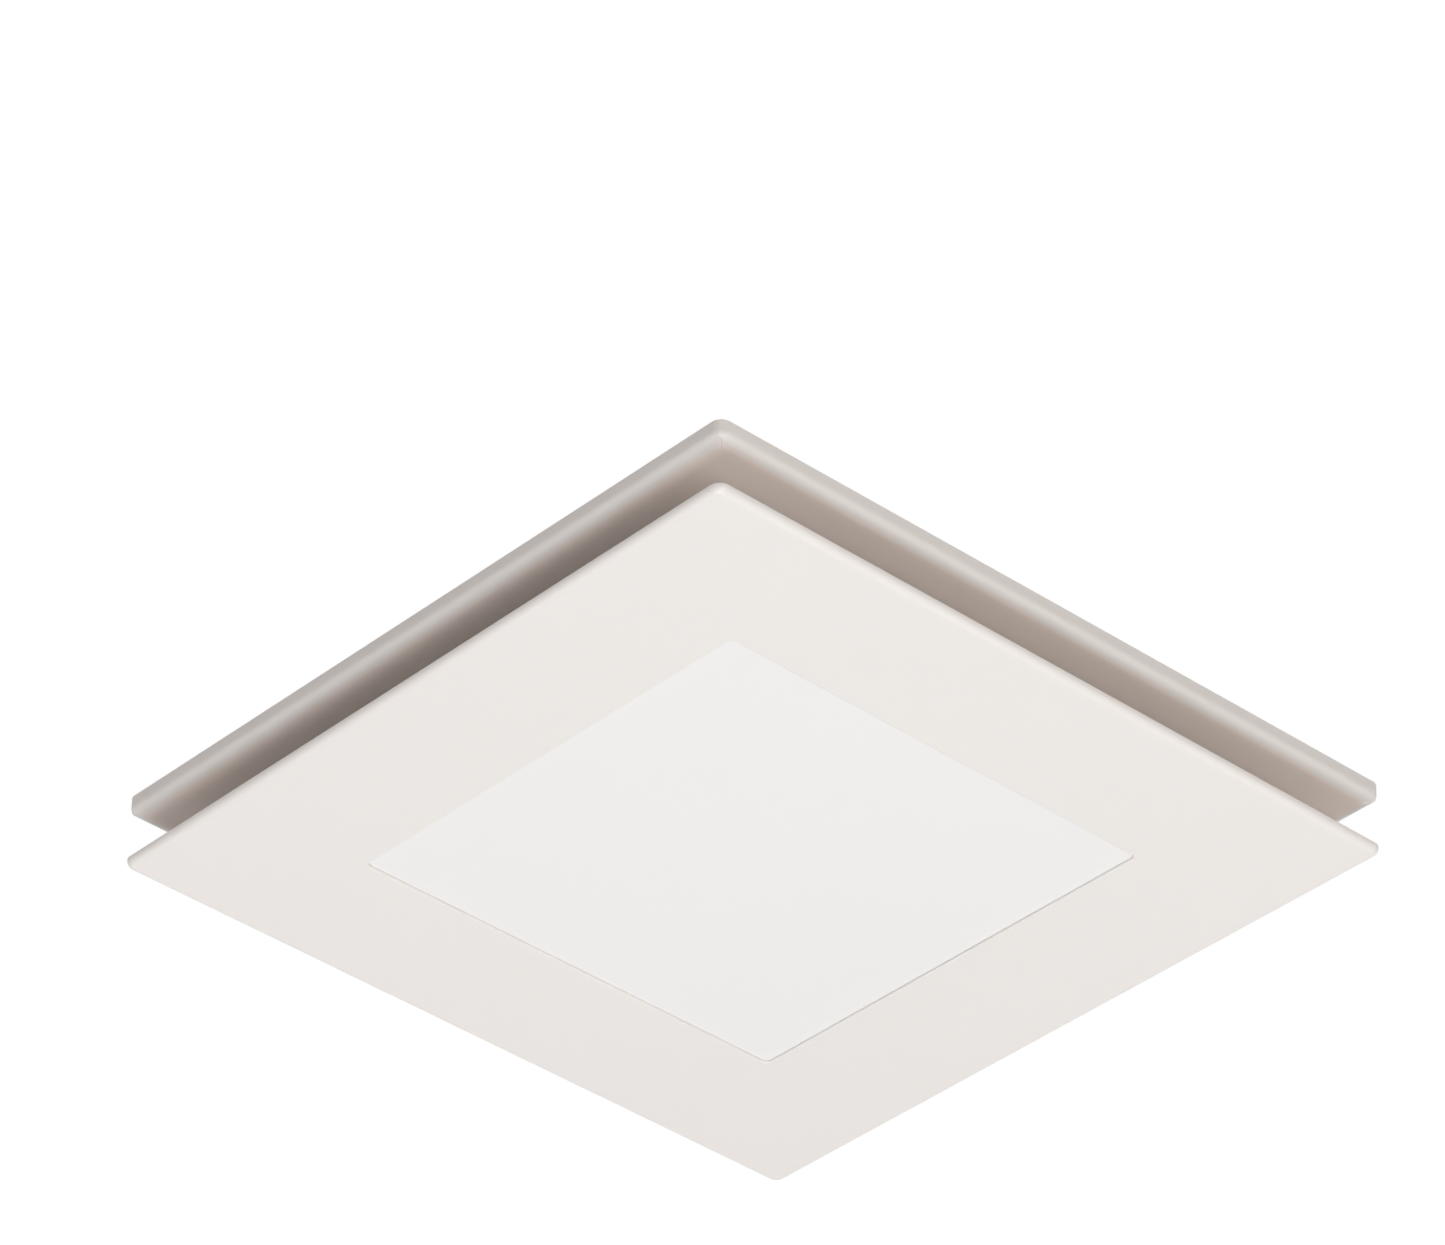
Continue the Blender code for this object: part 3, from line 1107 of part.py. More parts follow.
def leads():
    """Supply to the motor and to the driver, and the low-voltage lead down to the light's socket."""
    box_low = Vector((*TERMINAL_BOX_CORNER, DECK))
    box_high = box_low + TERMINAL_BOX
    exit_x = box_low.x + TERMINAL_BOX.x * LEAD_EXIT_SHARE
    exit_z = box_high.z - TERMINAL_BOX.z / 4
    rise_y = box_low.y - LEAD_END
    over = COVER_TOP + LEAD_RADIUS + SLIP
    rise = Vector((exit_x, rise_y, 0))
    can = rise.normalized() * (CAN_RADIUS + SEAT)
    edge = can.lerp(rise, LEAD_EDGE_SHARE)
    crossing = can.lerp(rise, LEAD_CROSSING_SHARE)
    turn = can * LEAD_ENTRY_SHARE
    entry = EAR_TOP + CAN_EDGE + LEAD_RADIUS
    lead("motor_lead", [(rise.x, box_low.y - SLIP, exit_z), (rise.x, box_low.y - LEAD_END / 2, exit_z),
                        (rise.x, rise.y, exit_z + LEAD_END / 2), (rise.x, rise.y, COVER_LEVEL),
                        (edge.x, edge.y, over + LEAD_END), (crossing.x, crossing.y, over + LEAD_END / 2),
                        (turn.x, turn.y, entry), (can.x, can.y, entry)], black_plastic())
    driver_low = Vector((*DRIVER_CORNER, DECK))
    lying = DECK + LEAD_RADIUS + SLIP
    height = DECK + DRIVER_BOX.z / 2
    route = []
    for wall, way in ((box_high.x, 1), (driver_low.x, -1)):
        half = [(wall + way * SEAT, DRIVER_LEAD_Y, height), (wall + way * LEAD_END, DRIVER_LEAD_Y, height),
                (wall + way * LEAD_BEND, DRIVER_LEAD_Y, lying + LEAD_RADIUS),
                (wall + way * LEAD_LANDING, DRIVER_LEAD_Y, lying)]
        route += half if way > 0 else reversed(half)
    lead("driver_lead", route, grey_abs())
    socket_top = SEAT_LEVEL + SOCKET_HEIGHT
    lead("socket_lead", [(POST_PLACE, driver_low.y - SEAT, height),
                         (POST_PLACE, driver_low.y - LEAD_END, height),
                         (POST_PLACE, PLUG_Y + LEAD_END / 2, BASE_TOP + LEAD_END / 2),
                         (POST_PLACE, PLUG_Y, BASE_LEVEL - LEAD_END / 4),
                         (POST_PLACE, PLUG_Y, socket_top + SEAT)], white_abs())


def box_ring(x, low_y, high_y, low_z, high_z):
    """Rectangle across the duct whose points pair up with those of a circle."""
    centre = Vector(((low_y + high_y) / 2, (low_z + high_z) / 2))
    half = Vector(((high_y - low_y) / 2, (high_z - low_z) / 2))
    points = []
    for index in range(DUCT_STEPS):
        turn = math.tau * index / DUCT_STEPS
        across = math.cos(turn)
        up = math.sin(turn)
        reach = max(abs(across), abs(up))
        points.append((x, centre.x + half.x * across / reach, centre.y + half.y * up / reach))
    return points


def round_ring(x, radius):
    turns = [math.tau * index / DUCT_STEPS for index in range(DUCT_STEPS)]
    return [(x, OUTLET_Y + radius * math.cos(turn), OUTLET_Z + radius * math.sin(turn)) for turn in turns]


def duct_adapter():
    """Outlet that blends from the scroll's square end to the round spigot, with a stop for the damper."""
    low_y = -SCROLL_END_RADIUS - SCROLL_WALL
    high_y = TONGUE_Y
    lip = COVER_LIP
    wall = ADAPTER_WALL
    flange_x = ADAPTER_START + ADAPTER_FLANGE
    stop_far = DAMPER_X - FLAP_THICKNESS / 2 - STOP_CLEARANCE
    stop_near = stop_far - STOP_WIDTH
    stop_inner = SPIGOT_INNER - STOP_HEIGHT
    inner_box = (low_y + wall, high_y - wall, DECK + wall, SCROLL_TOP - wall)
    rings = [box_ring(ADAPTER_START, low_y - lip, high_y + lip, DECK, COVER_TOP),
             box_ring(flange_x, low_y - lip, high_y + lip, DECK, COVER_TOP),
             box_ring(flange_x, low_y, high_y, DECK + SEAT, SCROLL_TOP),
             box_ring(BLEND_START, low_y, high_y, DECK + SEAT, SCROLL_TOP),
             round_ring(SPIGOT_START, SPIGOT_RADIUS), round_ring(SPIGOT_END, SPIGOT_RADIUS),
             round_ring(SPIGOT_END, SPIGOT_INNER), round_ring(stop_far, SPIGOT_INNER),
             round_ring(stop_far, stop_inner), round_ring(stop_near, stop_inner),
             round_ring(stop_near, SPIGOT_INNER), round_ring(SPIGOT_START, SPIGOT_INNER),
             box_ring(BLEND_START, *inner_box), box_ring(ADAPTER_START, *inner_box)]
    data = bmesh.new()
    add_rings(data, rings, True)
    return finish("duct_adapter", data, grey_abs())


def damper():
    """Rod across the spigot, two half-round flaps that share it, and the spring between them."""
    axis = (DAMPER_X, OUTLET_Y, OUTLET_Z)
    here = Matrix.Translation(axis)
    reach = SPIGOT_INNER - STOP_HEIGHT - SEAT
    data = bmesh.new()
    add_rod(data, ROD_RADIUS, -reach, reach, SMALL_STEPS, here)
    finish("damper_rod", data, steel())
    bore = ROD_RADIUS + SEAT
    half_spring = DAMPER_SPRING_LENGTH / 2
    data = bmesh.new()
    add_tube(data, bore, KNUCKLE_RADIUS, -half_spring, half_spring, SMALL_STEPS, here)
    finish("damper_spring", data, steel())
    near = half_spring + KNUCKLE_GAP + KNUCKLE_LENGTH / 2
    far = near + KNUCKLE_LENGTH + KNUCKLE_SPACING
    radius = SPIGOT_INNER - FLAP_CLEARANCE
    root = KNUCKLE_RADIUS + SEAT
    first = math.acos(root / radius)
    turns = [-first + 2 * first * index / (ROUND_STEPS // 2) for index in range(ROUND_STEPS // 2 + 1)]
    upright = Matrix.Rotation(math.pi / 2, 4, "Z") @ Matrix.Rotation(math.pi / 2, 4, "X")
    half_flap = FLAP_THICKNESS / 2
    half_web = FLAP_THICKNESS / 4
    for name, side, places in (("damper_flap_left", 1, (near, -far)), ("damper_flap_right", -1, (far, -near))):
        outline = [(side * radius * math.cos(turn), radius * math.sin(turn)) for turn in turns]
        data = bmesh.new()
        add_rings(data, [ring_at(outline, level) for level in (-half_flap, half_flap)], False, here @ upright)
        piece = finish(name, data, white_abs(), axis)
        barrels = bmesh.new()
        holes = bmesh.new()
        webs = bmesh.new()
        for place in places:
            low = place - KNUCKLE_LENGTH / 2
            high = low + KNUCKLE_LENGTH
            add_rod(barrels, KNUCKLE_RADIUS, low, high, SMALL_STEPS, here)
            add_rod(holes, bore, low - OVERRUN, high + OVERRUN, SMALL_STEPS, here)
            ends = sorted((side * (bore + SEAT), side * (root + KNUCKLE_RADIUS)))
            add_box(webs, (-half_web, ends[0], low + SINK), (half_web, ends[1], high - SINK), here)
        join(piece, webs)
        join(piece, barrels)
        cut(piece, holes)


def main():
    clear_scene()
    bezel()
    ceiling_gasket()
    fascia_panel()
    light_diffuser()
    light_stack()
    fascia_carrier()
    catch_clips()
    light_connector()
    finger_guard()
    inlet_ring()
    base_plate()
    scroll_wall()
    scroll_cover()
    ceiling_arms()
    impeller()
    spindle()
    motor_cans()
    motor_inside()
    motor_fixings()
    terminal_box()
    led_driver()
    capacitor()
    leads()
    duct_adapter()
    damper()


main()
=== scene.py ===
"""Looks of a ceiling exhaust fan with a floating square fascia and an edge-lit panel."""

import json
import math
from collections import namedtuple

import bmesh
import bpy
from mathutils import Matrix, Vector


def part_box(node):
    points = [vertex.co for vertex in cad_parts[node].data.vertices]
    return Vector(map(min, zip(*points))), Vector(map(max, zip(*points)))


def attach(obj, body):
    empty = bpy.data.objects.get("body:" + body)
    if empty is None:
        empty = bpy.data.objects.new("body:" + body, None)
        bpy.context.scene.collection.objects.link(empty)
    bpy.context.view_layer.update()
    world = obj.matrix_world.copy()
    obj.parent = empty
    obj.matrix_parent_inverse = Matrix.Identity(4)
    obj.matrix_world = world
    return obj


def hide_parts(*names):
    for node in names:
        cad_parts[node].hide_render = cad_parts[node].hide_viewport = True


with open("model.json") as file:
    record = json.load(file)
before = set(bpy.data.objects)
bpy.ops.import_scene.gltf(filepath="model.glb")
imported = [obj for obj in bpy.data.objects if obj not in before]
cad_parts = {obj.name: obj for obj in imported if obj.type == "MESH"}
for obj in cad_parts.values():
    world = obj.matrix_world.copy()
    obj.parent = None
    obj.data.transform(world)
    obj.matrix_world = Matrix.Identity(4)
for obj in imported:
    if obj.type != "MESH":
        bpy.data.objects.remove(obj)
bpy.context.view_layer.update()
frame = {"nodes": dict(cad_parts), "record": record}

bl_info = {
    "name": "Ceiling exhaust fan looks",
    "version": (1, 0, 0),
    "blender": (4, 5, 0),
    "location": "3D View > Sidebar > Fan",
    "description": "Dresses the solids of a ceiling exhaust fan with a panel light",
    "category": "Object",
}

MM = 0.001


def mm(*sizes):
    """Sizes in metres of numbers written in millimetres."""
    return tuple(size * MM for size in sizes)


# Levels and places that the solids keep, read from their boxes
NODE_LOW, NODE_HIGH = {}, {}
for node_name in frame["nodes"]:
    NODE_LOW[node_name], NODE_HIGH[node_name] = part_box(node_name)

# Bezel
SLIP = 0.3 * MM
SINK = 0.3 * MM
BEZEL_HALF = NODE_HIGH["bezel"].x
UNDERSIDE = NODE_LOW["bezel"].z
BEZEL_TOP = NODE_LOW["ceiling_gasket"].z - SLIP
COLLAR_TOP = NODE_HIGH["bezel"].z
BEZEL_CORNER = 4.0 * MM
BEZEL_LEAST_CORNER = 0.8 * MM
BEZEL_BACK_CORNER = 1.0 * MM
BEZEL_CORNER_TAPER_SHARE = 2.2
BEZEL_WALL_DROP = 3.1 * MM
BEZEL_ROLL_INSET = 5.4 * MM
BEZEL_ROLL_POWER = 0.7
BEZEL_CREASE = 0.4 * MM
CREASE_SHARES = ((-1, 0.5), (0, 1.0), (1, 0.5))
BEZEL_RIM = 3.0 * MM
COLLAR_HALF = 129.0 * MM
COLLAR_WALL = 2.5 * MM
COLLAR_CORNER = 8.0 * MM
COLLAR_RIB_SPAN = 232.0 * MM
COLLAR_RIB_WIDTH = 1.8 * MM
COLLAR_RIB_PROUD = 1.1 * MM
COLLAR_RIB_LOW = 1.0 * MM
CUTOUT_HALF = 131.0 * MM
THROAT_RADIUS = 85.0 * MM
THROAT_LIP = 0.8 * MM
POST_PLACE = 104.6 * MM
POST_HOLE = 5.0 * MM
PLUG_HOLE_LOW = mm(100.6, 54.5)
PLUG_HOLE_HIGH = mm(108.6, 65.5)

# Fascia and light
FASCIA_HALF = NODE_HIGH["fascia_panel"].x
FASCIA_TOP = NODE_HIGH["fascia_panel"].z
FASCIA_FACE = NODE_LOW["fascia_panel"].z
FASCIA_CORNER = 4.1 * MM
FASCIA_EDGE_ROUND = 2.8 * MM
WINDOW_HALF = 91.5 * MM
WINDOW_CORNER = 2.5 * MM
WINDOW_ROUND = 0.6 * MM
LIGHT_EDGE = 0.2 * MM
LIGHT_SLIP = 0.04 * MM
LIGHT_FACE = NODE_LOW["light_diffuser"].z
LIGHT_TOP = NODE_HIGH["light_diffuser"].z
LIGHT_FLANGE_HALF = NODE_HIGH["light_diffuser"].x
FACE_SHARES = (0.3, 0.6, 0.9)
LAMP_CHIP = Vector((0.22, 2.8, 1.4)) * MM
LAMP_SPAN = 168.0 * MM
STRIP_INNER = 92.3 * MM
STRIP_MIDDLE = -21.1 * MM
CARRIER_TOP = -21.9 * MM
GUSSET = Vector((3.2, 1.4, 7.0)) * MM
POST_FOOT = 3.2 * MM

# Inlet
GUARD_LOW = NODE_LOW["finger_guard"].z
GUARD_HIGH = NODE_HIGH["finger_guard"].z
GUARD_HUB = 9.0 * MM
GUARD_BAR = 2.0 * MM
GUARD_RINGS = mm(28.0, 47.0, 66.0)
GUARD_RIM = mm(83.0, 90.0)
GUARD_SPOKES = 6
GUARD_EDGE = 0.45 * MM
MOUTH_RADIUS = 84.0 * MM
MOUTH_LEVEL = NODE_LOW["inlet_ring"].z
EYE_RADIUS = 60.0 * MM
EYE_TOP = NODE_HIGH["inlet_ring"].z
INLET_WALL = 2.0 * MM
INLET_FLANGE = 92.0 * MM
INLET_FLANGE_TOP = 24.0 * MM

# Housing
BASE_TOP = 27.3 * MM
DECK = NODE_LOW["scroll_wall"].z
SCROLL_TOP = NODE_HIGH["scroll_wall"].z
COVER_TOP = NODE_HIGH["scroll_cover"].z
COVER_LEVEL = SCROLL_TOP + SLIP
SCROLL_START_RADIUS = 79.0 * MM
SCROLL_END_RADIUS = 106.0 * MM
SCROLL_START_ANGLE = math.radians(-35.0)
SCROLL_END_ANGLE = math.radians(270.0)
SCROLL_WALL = 2.0 * MM
SCROLL_STEPS = 90
TONGUE_Y = SCROLL_START_RADIUS * math.sin(SCROLL_START_ANGLE)
OUTLET_REACH = NODE_HIGH["scroll_wall"].x
FOOT_WIDTH = 5.5 * MM
FOOT_SHEET = 1.0 * MM
FOOT_RIVET_SPACING = 24.0 * MM
COVER_OVERHANG = 3.0 * MM
COVER_LIP_SHEET = 1.0 * MM
COVER_LIP_DROP = 3.5 * MM
COVER_HOLE = 14.0 * MM
COVER_BEAD = ((30.0, -0.3), (30.6, 0.6), (31.6, 0.9), (33.4, 0.9), (34.4, 0.6), (35.0, -0.3))
COVER_RIB = (mm(61.5, -1.6, -0.3), mm(77.0, 1.6, 0.9))
COVER_RIB_EDGE = 0.7 * MM
COVER_RIBS = 24
COVER_SCREW_SPACING = 58.0 * MM
RIVET_PROFILE = ((1.7, -0.2), (1.7, 0.15), (1.35, 0.5), (0.7, 0.72))
WASHER_PROFILE = ((3.9, -0.1), (3.9, 0.5), (3.6, 0.75), (2.0, 0.75))
HEX_PROFILE = ((2.7, 0.6), (3.05, 0.9), (3.05, 2.4), (2.6, 2.9), (1.9, 2.9), (1.6, 2.5))
HEX_SIDES = 6
PAN_PROFILE = ((2.9, -0.1), (3.0, 0.3), (2.9, 0.9), (2.4, 1.4), (1.5, 1.7), (0.6, 1.8))
RECESS = Vector((3.2, 0.7, 1.5)) * MM
RECESS_FLOOR = 0.9 * MM
RECESS_EDGE_SHARE = 0.2
BASE_SCREWS = ((-121.0, -121.0), (121.0, -121.0), (-121.0, 121.0), (58.0, 120.0))
BASE_BEAD = (mm(116.6, -33.0, -0.3), mm(119.6, 17.0, 0.9))
BASE_BEAD_EDGE = 0.8 * MM
EARTH_PLACE = mm(-117.0, 63.0)
EARTH_STUD = ((2.0, -0.2), (2.0, 8.4), (1.6, 9.0))

# Impeller
IMPELLER_PLATE = ((4.3, 78.5), (9.0, 78.5), (9.0, 86.5), (70.0, 86.5), (70.0, 89.0), (9.0, 89.0),
                  (9.0, 92.5), (4.3, 92.5))
IMPELLER_SHROUD = ((64.0, 31.0), (70.0, 31.0), (70.0, 35.2), (68.6, 35.2), (68.6, 33.0), (64.0, 32.6))
BLADE_INNER = 58.2 * MM
BLADE_CHORD = 11.5 * MM
BLADE_BOW = 1.9 * MM
BLADE_RISE = 1.6 * MM
BLADE_EDGE = 0.7 * MM
BLADE_THICKNESS = 1.5 * MM
BLADE_LEVELS = mm(32.4, 86.8)
BLADE_COUNT = 26
BLADE_STEPS = 6
WEB = (mm(8.8, -0.8, 82.8), mm(44.0, 0.8, 86.8))
WEB_EDGE = 0.3 * MM
WEB_COUNT = 12

# Motor
CAN_LEVEL = NODE_LOW["motor_can_lower"].z
CAN_TOP = NODE_HIGH["motor_can_upper"].z
CAN_SPLIT_LOW = NODE_HIGH["motor_can_lower"].z - NODE_LOW["motor_can_lower"].z
CAN_SPLIT_HIGH = NODE_HIGH["motor_can_upper"].z - NODE_LOW["motor_can_upper"].z
CAN_END = ((6.0, 0.0), (13.4, 0.0), (14.2, 0.6), (17.0, 0.6), (17.8, 0.0), (38.0, 0.0))
CAN_EDGE = 3.0 * MM
CAN_EDGE_STEPS = 8
CAN_RADIUS = 41.0 * MM
CAN_SEAM = 1.1 * MM
CAN_SEAM_HEIGHT = 1.6 * MM
CAN_INNER = 39.5 * MM
CAN_SEAT = ((39.5, 2.0), (13.3, 2.0), (13.3, 9.3), (11.3, 9.3), (11.3, 2.0), (6.0, 2.0))
VENT = (mm(36.0, -1.5, 5.0), mm(44.0, 1.5, 13.5))
VENT_COUNT = 24
TOP_VENT = (mm(20.5, -1.3, -2.0), mm(34.5, 1.3, 4.0))
TOP_VENT_COUNT = 12
VENT_EDGE = 1.2 * MM
EAR_RADIUS = 9.0 * MM
EAR_ROOT = 13.5 * MM
EAR_LEVELS = mm(0.15, 1.85)
LEAST_SINE = 0.001
FIXING_RADIUS = 50.0 * MM
FIXINGS = 3
NECK_HOLE = 5.3 * MM
GROMMET_PROFILE = ((2.4, 0.0), (7.5, 0.0), (7.5, 2.5), (5.0, 2.5), (5.0, 5.1), (7.5, 5.1), (7.5, 7.6),
                   (2.4, 7.6))
SCREW_PROFILE = ((1.6, 0.0), (2.1, 0.7), (2.1, 15.7), (4.7, 15.7), (5.0, 16.0), (5.0, 16.7), (4.6, 17.5),
                 (3.6, 18.05), (2.0, 18.3))
SCREW_RECESS = Vector((5.4, 1.1, 3.0)) * MM
SCREW_RECESS_FLOOR = 17.0 * MM
COIL_HEAD = (mm(25.0, -6.3, 110.0), mm(29.7, 6.3, 133.0))
COIL_HEAD_EDGE = 1.9 * MM
COIL_HEADS = 12

# Supply side
BOX_LOW = NODE_LOW["terminal_box"]
BOX_HIGH = NODE_HIGH["terminal_box"]
BOX_WALL = 2.0 * MM
BOX_EDGE = 1.2 * MM
LID_LEVEL = BOX_HIGH.z + SLIP
LID_TOP = NODE_HIGH["terminal_box_lid"].z
LID_SCREW_INSET = 5.0 * MM
LID_PANEL_INSET = 9.0 * MM
LID_PANEL_PROUD = 0.6 * MM
LID_LIP = 3.0 * MM
KNOCKOUT_PROFILE = ((8.0, -0.3), (8.0, 0.5), (7.4, 0.8), (6.6, 0.8), (6.2, 0.2), (5.2, 0.2), (4.8, 0.5))
KNOCKOUT_SPACING = 22.0 * MM
GLAND_THREAD_HOLE = 8.3 * MM
GLAND_HEX = ((9.4, 0.3), (10.4, 0.9), (10.4, 5.2), (9.4, 5.9))
GLAND_BODY = ((4.6, -2.0), (8.0, -2.0), (8.0, 6.0), (9.3, 6.3), (9.5, 6.8), (9.5, 9.6), (9.0, 10.6),
              (7.6, 13.2), (6.9, 13.9), (5.2, 13.9), (4.6, 13.4))
GLAND_SEAL = ((3.3, 3.0), (4.9, 3.0), (4.9, 13.0), (4.3, 13.3), (3.3, 12.4))
GLAND_GRIP = (mm(9.2, -0.5, 6.7), mm(9.95, 0.5, 10.2))
GLAND_GRIP_EDGE = 0.25 * MM
GLAND_GRIPS = 20
DRIVER_LOW = NODE_LOW["led_driver"]
DRIVER_HIGH = NODE_HIGH["led_driver"]
DRIVER_MIDDLE = (DRIVER_LOW + DRIVER_HIGH) / 2
DRIVER_EDGE = 1.4 * MM
SWITCH_SLOT = Vector((13.0, 5.4, 2.5)) * MM
DRIVER_BAND = 2.4 * MM
DRIVER_BAND_PROUD = 0.4 * MM
DRIVER_FIN_WIDTH = 1.2 * MM
DRIVER_FIN_PROUD = 0.6 * MM
DRIVER_FINS = 14
DRIVER_TICK = Vector((0.5, 2.2, 0.25)) * MM
TICK_PLACE = 4.6 * MM
TICK_SPACING = 3.0 * MM
DRIVER_EARS = ((64.5, 92.0, 0.0), (84.0, 80.5, 90.0))
EAR_TAB = (mm(-4.5, -4.0, 0.0), mm(5.5, 4.0, 1.8))
EAR_TAB_EDGE = 0.5 * MM
KNOB_GRIP = Vector((0.5, 3.6, 0.6)) * MM
KNOB_EDGE = 0.4 * MM
CAPACITOR_PROFILE = ((14.3, 0.0), (15.0, 0.7), (15.0, 37.6), (14.5, 38.2), (14.5, 39.0), (15.0, 39.6),
                     (15.0, 44.0), (14.4, 45.0), (13.4, 45.0), (13.0, 44.2), (12.9, 42.4))
CAPACITOR_BLADE = Vector((0.8, 6.3, 3.6)) * MM
CAPACITOR_BLADE_SPACING = 8.0 * MM
CAPACITOR_FLOOR = 42.2 * MM
BUSHING_PROFILE = ((2.6, -0.4), (4.6, -0.4), (4.6, 1.2), (3.9, 1.6), (3.4, 6.0), (2.9, 8.5), (2.6, 8.5))
LEAD_RING_REACH = 0.3 * MM

# Outlet
OUTLET_LOW_Y = -SCROLL_END_RADIUS - SCROLL_WALL
OUTLET_Y = (OUTLET_LOW_Y + TONGUE_Y) / 2
OUTLET_Z = (DECK + SCROLL_TOP) / 2
ADAPTER_START = NODE_LOW["duct_adapter"].x
ADAPTER_END = NODE_HIGH["duct_adapter"].x
ADAPTER_WALL = 2.0 * MM
ADAPTER_FLANGE = 3.0 * MM
BLEND_START = 129.3 * MM
SPIGOT_START = 152.3 * MM
SPIGOT_RADIUS = 49.0 * MM
SPIGOT_LEAD_IN = 1.2 * MM
BEAD_PLACES = mm(182.0, 190.0)
BEAD_PROUD = 0.7 * MM
BEAD_HALF_WIDTH = 1.4 * MM
STOP_SPAN = mm(165.3, 167.3)
STOP_RADIUS = 44.5 * MM
DUCT_STEPS = 96
BLEND_STEPS = 10
FLANGE_RIVETS = ((-109.6, 40.0), (-109.6, 62.6), (-109.6, 85.0), (-43.8, 40.0), (-43.8, 62.6), (-43.8, 85.0),
                 (-98.0, 99.0), (-76.0, 99.0), (-54.0, 99.0))
FLANGE_RIVET_SHARE = 0.6
FLAP_RIB_PROUD = 0.9 * MM
FLAP_RIB_WIDTH = 1.6 * MM
FLAP_RIB_START = 8.0 * MM
FLAP_RIB_LEVELS = mm(-26.0, -9.0, 9.0, 26.0)
FLAP_THICKNESS = 1.2 * MM
DAMPER_WIRE = 0.55 * MM
DAMPER_TURNS = 6.5
COIL_STEPS = 24
WIRE_STEPS = 8

# Arms
ARM_PLACE = mm(120.0, 40.0, 35.3)
ARM_RIB_PATH = ((3.5, 5.0), (9.0, 3.0), (13.2, -1.6), (22.6, -20.9), (27.0, -22.0), (33.5, -23.1))
ARM_RIB_WIDTH = 1.8 * MM
ARM_RIB_PROUD = 1.3 * MM
CAP_PROFILE = ((3.6, 0.0), (3.7, 0.25), (3.6, 0.8), (2.8, 1.1), (1.4, 1.1), (1.1, 0.8))
CAP_PLACES = ((-9.8 * MM, 90), (16.1 * MM, -90))
SPRING_START = 7.3 * MM
SPRING_LENGTH = 6.0 * MM
SPRING_RADIUS = 3.6 * MM
SPRING_WIRE = 0.72 * MM
SPRING_TURNS = 3.6

# Finishes
MOTTLE_SCALE = 14.0
CELL_TONE_SHARE = 0.6
DRAWN_STRETCH = (0.05, 0.05, 1.0)
WIRE_WANDER = 1.2
PORE_RANGE = (0.1, 0.6)
TONE_RANGE = (0.2, 0.8)
WEAR_WIDTH = 0.5 * MM
WEAR_SAMPLES = 4
WEAR_RANGE = (0.02, 0.2)
WEAR_LIFT_SHARE = 0.6
DUST_RANGE = (0.5, 0.95)
DUST_COLOUR = (0.46, 0.43, 0.39, 1.0)
DUST_ROUGHNESS = 0.9
# Painted warm shade: a warm tint laid on what faces straight down, such as the bezel's underside, where shade
# falls
PAINTED_SHADE_RANGE = (0.97, 1.0)
PAINTED_SHADE_COLOUR = (0.93, 0.835, 0.78, 1.0)

# Noise that breaks up a mask: its scale, its detail, and what range of it is stretched to what
WEAR_NOISE = (260.0, 4.0, 0.35, 0.7, 0.0, 1.0)
DUST_NOISE = (38.0, 6.0, 0.3, 0.75, 0.25, 1.0)
# This noise breaks up the painted warm shade
PAINTED_SHADE_NOISE = (22.0, 3.0, 0.2, 0.8, 0.8, 1.0)

# Camera and stage
IMAGE_WIDTH = 1445
FOCAL_PIXELS = 7109.228
SENSOR = 36.0
CAMERA_PLACE = (1.48939, -1.32879, -1.33914)
CAMERA_RIGHT = (0.67158, 0.74068, 0.01927)
CAMERA_UP = (0.41683, -0.39918, 0.81665)
CEILING_HALF = 3.0
FLOOR_HALF = 60.0
FLOOR_LEVEL = -2.4
PURE_WHITE = (1.0, 1.0, 1.0, 1.0)
STAGE_WHITE_SHARE = 0.94
STAGE_GLOW = 1.045
STAGE_GRAIN_SCALE = 90.0
STAGE_TONE = 0.01
CEILING_COLOUR = (0.53, 0.515, 0.52)
FLOOR_COLOUR = (0.84, 0.76, 0.69)
BELOW_COLOUR = (1.0, 0.83, 0.73, 1.0)
HORIZON_RANGE = (0.0, 0.25)
LAMPS = {
    "key": ((2.0, -0.48, -1.33), 1.1, (1.0, 0.96, 0.9)),
    "fill": ((0.1, -0.25, -2.25), 1.8, (0.94, 0.97, 1.0)),
    "top": ((-0.9, -1.5, 2.3), 1.5, (1.0, 1.0, 1.0)),
}

# Mesh detail
WELD = 0.002 * MM
FLAT_ANGLE = math.radians(0.6)
SHARP_ANGLE = math.radians(35.0)
EDGE_SEGMENTS = 2
CORNER_STEPS = 10
SIDE_STEPS = 6
ROLL_STEPS = 12
LIP_STEPS = 6
SMALL_STEPS = 20
ROUND_STEPS = 64
FINE_STEPS = 128
OVERRUN = 2.0 * MM


# Outlines, places and profiles

def circle(radius, steps, centre=(0, 0)):
    turns = [math.tau * index / steps for index in range(steps)]
    return [(centre[0] + radius * math.cos(turn), centre[1] + radius * math.sin(turn)) for turn in turns]


def right_angle(steps):
    """Sine and cosine at even steps through a right angle."""
    angles = [math.pi / 2 * index / steps for index in range(steps + 1)]
    return [(math.sin(angle), math.cos(angle)) for angle in angles]


def rounded_square(half, corner):
    """Outline of a square with round corners, with as many points whatever its size."""
    points = []
    straight = half - corner
    for quarter in range(4):
        turn = Matrix.Rotation(math.tau * quarter / 4, 2)
        for sine, cosine in right_angle(CORNER_STEPS):
            points.append(turn @ (Vector((straight, straight)) + Vector((cosine, sine)) * corner))
        for index in range(1, SIDE_STEPS):
            points.append(turn @ Vector((straight - 2 * straight * index / SIDE_STEPS, half)))
    return points


def matching_circle(radius):
    """Circle whose points pair up with those of a rounded square."""
    count = 4 * (CORNER_STEPS + SIDE_STEPS)
    first = math.pi / 4 - math.tau * CORNER_STEPS / 2 / count
    turns = [first + math.tau * index / count for index in range(count)]
    return [(radius * math.cos(turn), radius * math.sin(turn)) for turn in turns]


def ring_at(outline, level):
    return [(x, y, level) for x, y in outline]


def square_ring(half, corner, level):
    return ring_at(rounded_square(half, corner), level)


def sized(points, base=0.0):
    """Profile in metres, from a level, of points written in millimetres."""
    return [(radius * MM, base + height * MM) for radius, height in points]


